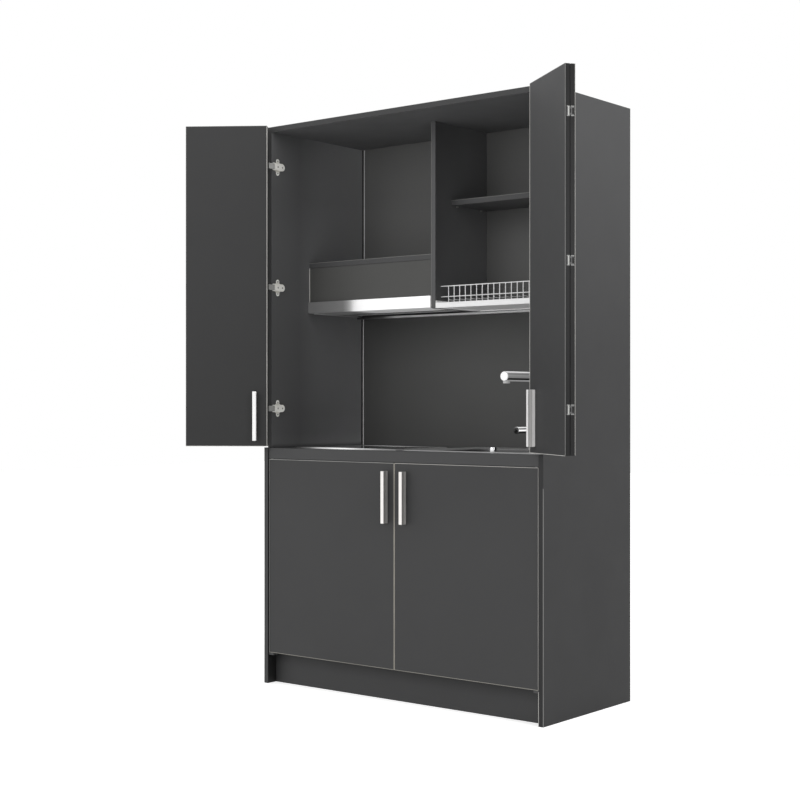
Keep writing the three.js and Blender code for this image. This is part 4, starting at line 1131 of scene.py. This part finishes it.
def makeTap():
    t, body, lever, spout = tapShape, boxOf("tap_body"), boxOf("tap_lever"), boxOf("tap_spout")
    x, y, _ = middleOf(body)
    deck, sleeve = boxOf("worktop")["z1"] + t["deckRise"], spout["z1"] - t["sleeveLong"]
    column = (raised(t["shank"], body["z0"]) + raised(t["foot"], deck)
              + raised(t["underLever"], lever["z0"]) + raised(t["underSleeve"], sleeve)
              + raised(t["spindle"], body["z1"]))
    piece = turnedPiece("tap_column", column, (x, y, 0), "columnChrome", "root",
                        count=t["count"])
    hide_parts("tap_body")
    turnedPiece("tap_nut", raised(t["nut"], deck), (x, y, 0), "hinge", "root",
                count=6, smooth=False)

    z, half = middleOf(lever)[2], (lever["z1"] - lever["z0"]) / 2
    inner, end = half - t["boreInset"], lever["y0"] + t["armFront"]
    collar = roundedEnd(*t["collar"], -half, half) + [(t["bore"], inner), (t["bore"], -inner)]
    bm = bmesh.new()
    addTurned(bm, collar, (x, y, z), count=t["count"], closed=True)
    addTurned(bm, roundedEnd(*t["arm"], end, y - t["armLap"]), (x, 0, z), "y")
    piece = linkMesh("lever_detail", bm, "leverChrome", "tap_lever_body", True)
    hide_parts("tap_lever")
    pin = raised(t["pinTip"], lever["y0"] + t["pinFront"]) + raised(t["pinRoot"], end)
    turnedPiece("lever_pin", pin, (x, 0, z), "black", "tap_lever_body", "y", 32)

    z, front = spout["z1"] - t["tubeDrop"], spout["y0"]
    mouth, place = z - t["mouthDrop"], (x, front + t["mouthBack"], 0)
    bm = bmesh.new()
    addTurned(bm, roundedEnd(*t["sleeve"], sleeve, spout["z1"]), (x, y, 0), count=t["count"])
    addTurned(bm, roundedEnd(*t["tube"], front + t["tubeFront"], y), (x, 0, z), "y", t["count"])
    addTurned(bm, raised(t["outlet"], mouth), place)
    piece = linkMesh("spout_detail", bm, "spoutChrome", "tap_spout_body", True)
    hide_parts("tap_spout")
    cap = roundedEnd(*t["cap"], front + t["capFront"], front + t["capBack"])
    turnedPiece("spout_cap", cap, (x, 0, z), "tipChrome", "tap_spout_body", "y", t["count"])
    turnedPiece("aerator_screen", raised(t["screen"], mouth), place, "black", "tap_spout_body")


makeTap()
print("tap made")


# hob: black glass in a steel frame, with two printed cooking zones; the frame has a painted highlight
# streak and a painted glow
hobShape = {
    "corner": 6, "leastCorner": 2, "cornerSteps": 5, "frame": 9,
    "outside": ((0, 1), (0.3, 0.3), (1, 0)), "inside": ((-1, 0), (0, 0.6)),     # (inset, drop)
    "glass": ((0.2, 0.6), (0.6, 0.4)),      # (inset from the frame, drop)
    "zones": ((-118, 72.5), (112, 90)),     # (place along the width, radius)
    "innerRing": 0.55, "line": 1.4, "lineFoot": 0.5, "lineTop": 0.32,
}


def makeHob():
    h, box = hobShape, boxOf("hob_plate")
    z0, z1, frame = box["z0"], box["z1"], h["frame"]

    def ring(inset, z):
        return roundedRect(box, inset, z, max(h["corner"] - inset, h["leastCorner"]), h["cornerSteps"])
    bm = bmesh.new()
    addLoops(bm, [ring(0, z0)] + [ring(inset, z1 - drop) for inset, drop in h["outside"]]
             + [ring(frame + inset, z1 - drop) for inset, drop in h["inside"]] + [ring(frame, z0)],
             closed=True)
    linkMesh("hob_frame", bm, "trim", "root")
    bm = bmesh.new()
    addLoops(bm, [ring(frame + h["glass"][0][0], z0)]
             + [ring(frame + inset, z1 - drop) for inset, drop in h["glass"]])
    glass = linkMesh("hob_glass", bm, "glass", "root")
    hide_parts("hob_plate")
    x, y, _ = middleOf(box)
    foot, top = z1 - h["lineFoot"], z1 - h["lineTop"]
    bm = bmesh.new()
    for shift, radius in h["zones"]:
        for outer in (radius, radius * h["innerRing"]):
            inner = outer - h["line"]
            loop = ((inner, foot), (inner, top), (outer, top), (outer, foot))
            addTurned(bm, loop, (x + shift, y, 0), count=72, closed=True)
    linkMesh("hob_zones", bm, "print", "root", True)


makeHob()
print("hob made")


# slip nuts of the waste trap
trapShape = {
    "nut": ((29, 0), (31.5, 1.5), (31.5, 12), (29, 13.5)), "nutDrop": 14,
    "cup": ((30, 0), (32, 1.5), (32, 10), (30, 11.5)), "cupRise": 20,
    "collar": ((17, 32), (19.5, 33.5), (19.5, 44), (17, 45.5)), "collarDrop": 22,
}


def makeTrapNuts():
    t, trap = trapShape, boxOf("waste_trap")
    x, y, _ = middleOf(boxOf("sink_waste"))
    bm = bmesh.new()
    addTurned(bm, raised(t["nut"], trap["z1"] - t["nutDrop"]), (x, y, 0), count=16)
    addTurned(bm, raised(t["cup"], trap["z0"] + t["cupRise"]), (x, y, 0), count=32)
    addTurned(bm, raised(t["collar"], y), (x, 0, trap["z1"] - t["collarDrop"]), "y", 16)
    linkMesh("trap_nuts", bm, "white", "root")


makeTrapNuts()
print("trap nuts made")


# stage: floor, backdrop and light
stageLook = {
    "floorSize": 30,
    "floorColour": (0.80, 0.80, 0.80),
    "floorRoughness": 0.9,
    "floorShine": 0.1,
    "floorGlow": 0.55,       # lifts the floor to white where no shadow lies
    "worldLight": 0.85,
}


def seenDirectly(tree):
    # 1 for rays from the camera, in reflections and through glass, otherwise 0
    path = addNode(tree, "ShaderNodeLightPath")
    total = path.outputs["Is Camera Ray"]
    for other in ("Is Glossy Ray", "Is Transmission Ray"):
        node = addNode(tree, "ShaderNodeMath", operation="MAXIMUM")
        tree.links.new(total, node.inputs[0])
        tree.links.new(path.outputs[other], node.inputs[1])
        total = node.outputs[0]
    return total


def makeStage(look):
    mesh = bpy.data.meshes.new("floor")
    half = look["floorSize"] / 2
    mesh.from_pydata([(-half, -half, 0), (half, -half, 0), (half, half, 0), (-half, half, 0)],
                     [], [(0, 1, 2, 3)])
    floor = bpy.data.objects.new("floor", mesh)
    bpy.context.scene.collection.objects.link(floor)
    finish, tree, shader = newFinish("floor_paint")
    give(tree, shader, {
        "Base Color": (*look["floorColour"], 1), "Roughness": look["floorRoughness"],
        "Specular IOR Level": look["floorShine"], "Emission Color": (1, 1, 1, 1),
        "Emission Strength": spread(tree, seenDirectly(tree), 0.0, look["floorGlow"])})
    mesh.materials.append(finish)

    world = bpy.data.worlds.new("studio")
    bpy.context.scene.world = world
    world.use_nodes = True
    tree = world.node_tree
    background = tree.nodes["Background"]
    background.inputs["Color"].default_value = (1, 1, 1, 1)
    light = spread(tree, seenDirectly(tree), look["worldLight"], 1.0)
    tree.links.new(light, background.inputs["Strength"])


lamps = {
    "sideLamp": {"place": (5.5, -0.5, 3.2), "aim": (0.4, 0.2, 1.4), "size": 2.6, "watts": 150},
    "frontLamp": {"place": (-0.5, -5.5, 3.4), "aim": (0.0, 0.0, 1.0), "size": 3.0, "watts": 60},
}


def makeLamps(lamps):
    for name, lamp in lamps.items():
        light = bpy.data.lights.new(name, "AREA")
        light.size = lamp["size"]
        light.energy = lamp["watts"]
        holder = bpy.data.objects.new(name, light)
        holder.location = lamp["place"]
        aim = Vector(lamp["aim"]) - Vector(lamp["place"])
        holder.rotation_euler = aim.to_track_quat("-Z", "Y").to_euler()
        bpy.context.scene.collection.objects.link(holder)


makeStage(stageLook)
makeLamps(lamps)
bpy.context.scene.view_settings.view_transform = "Standard"
print("stage and lamps made")
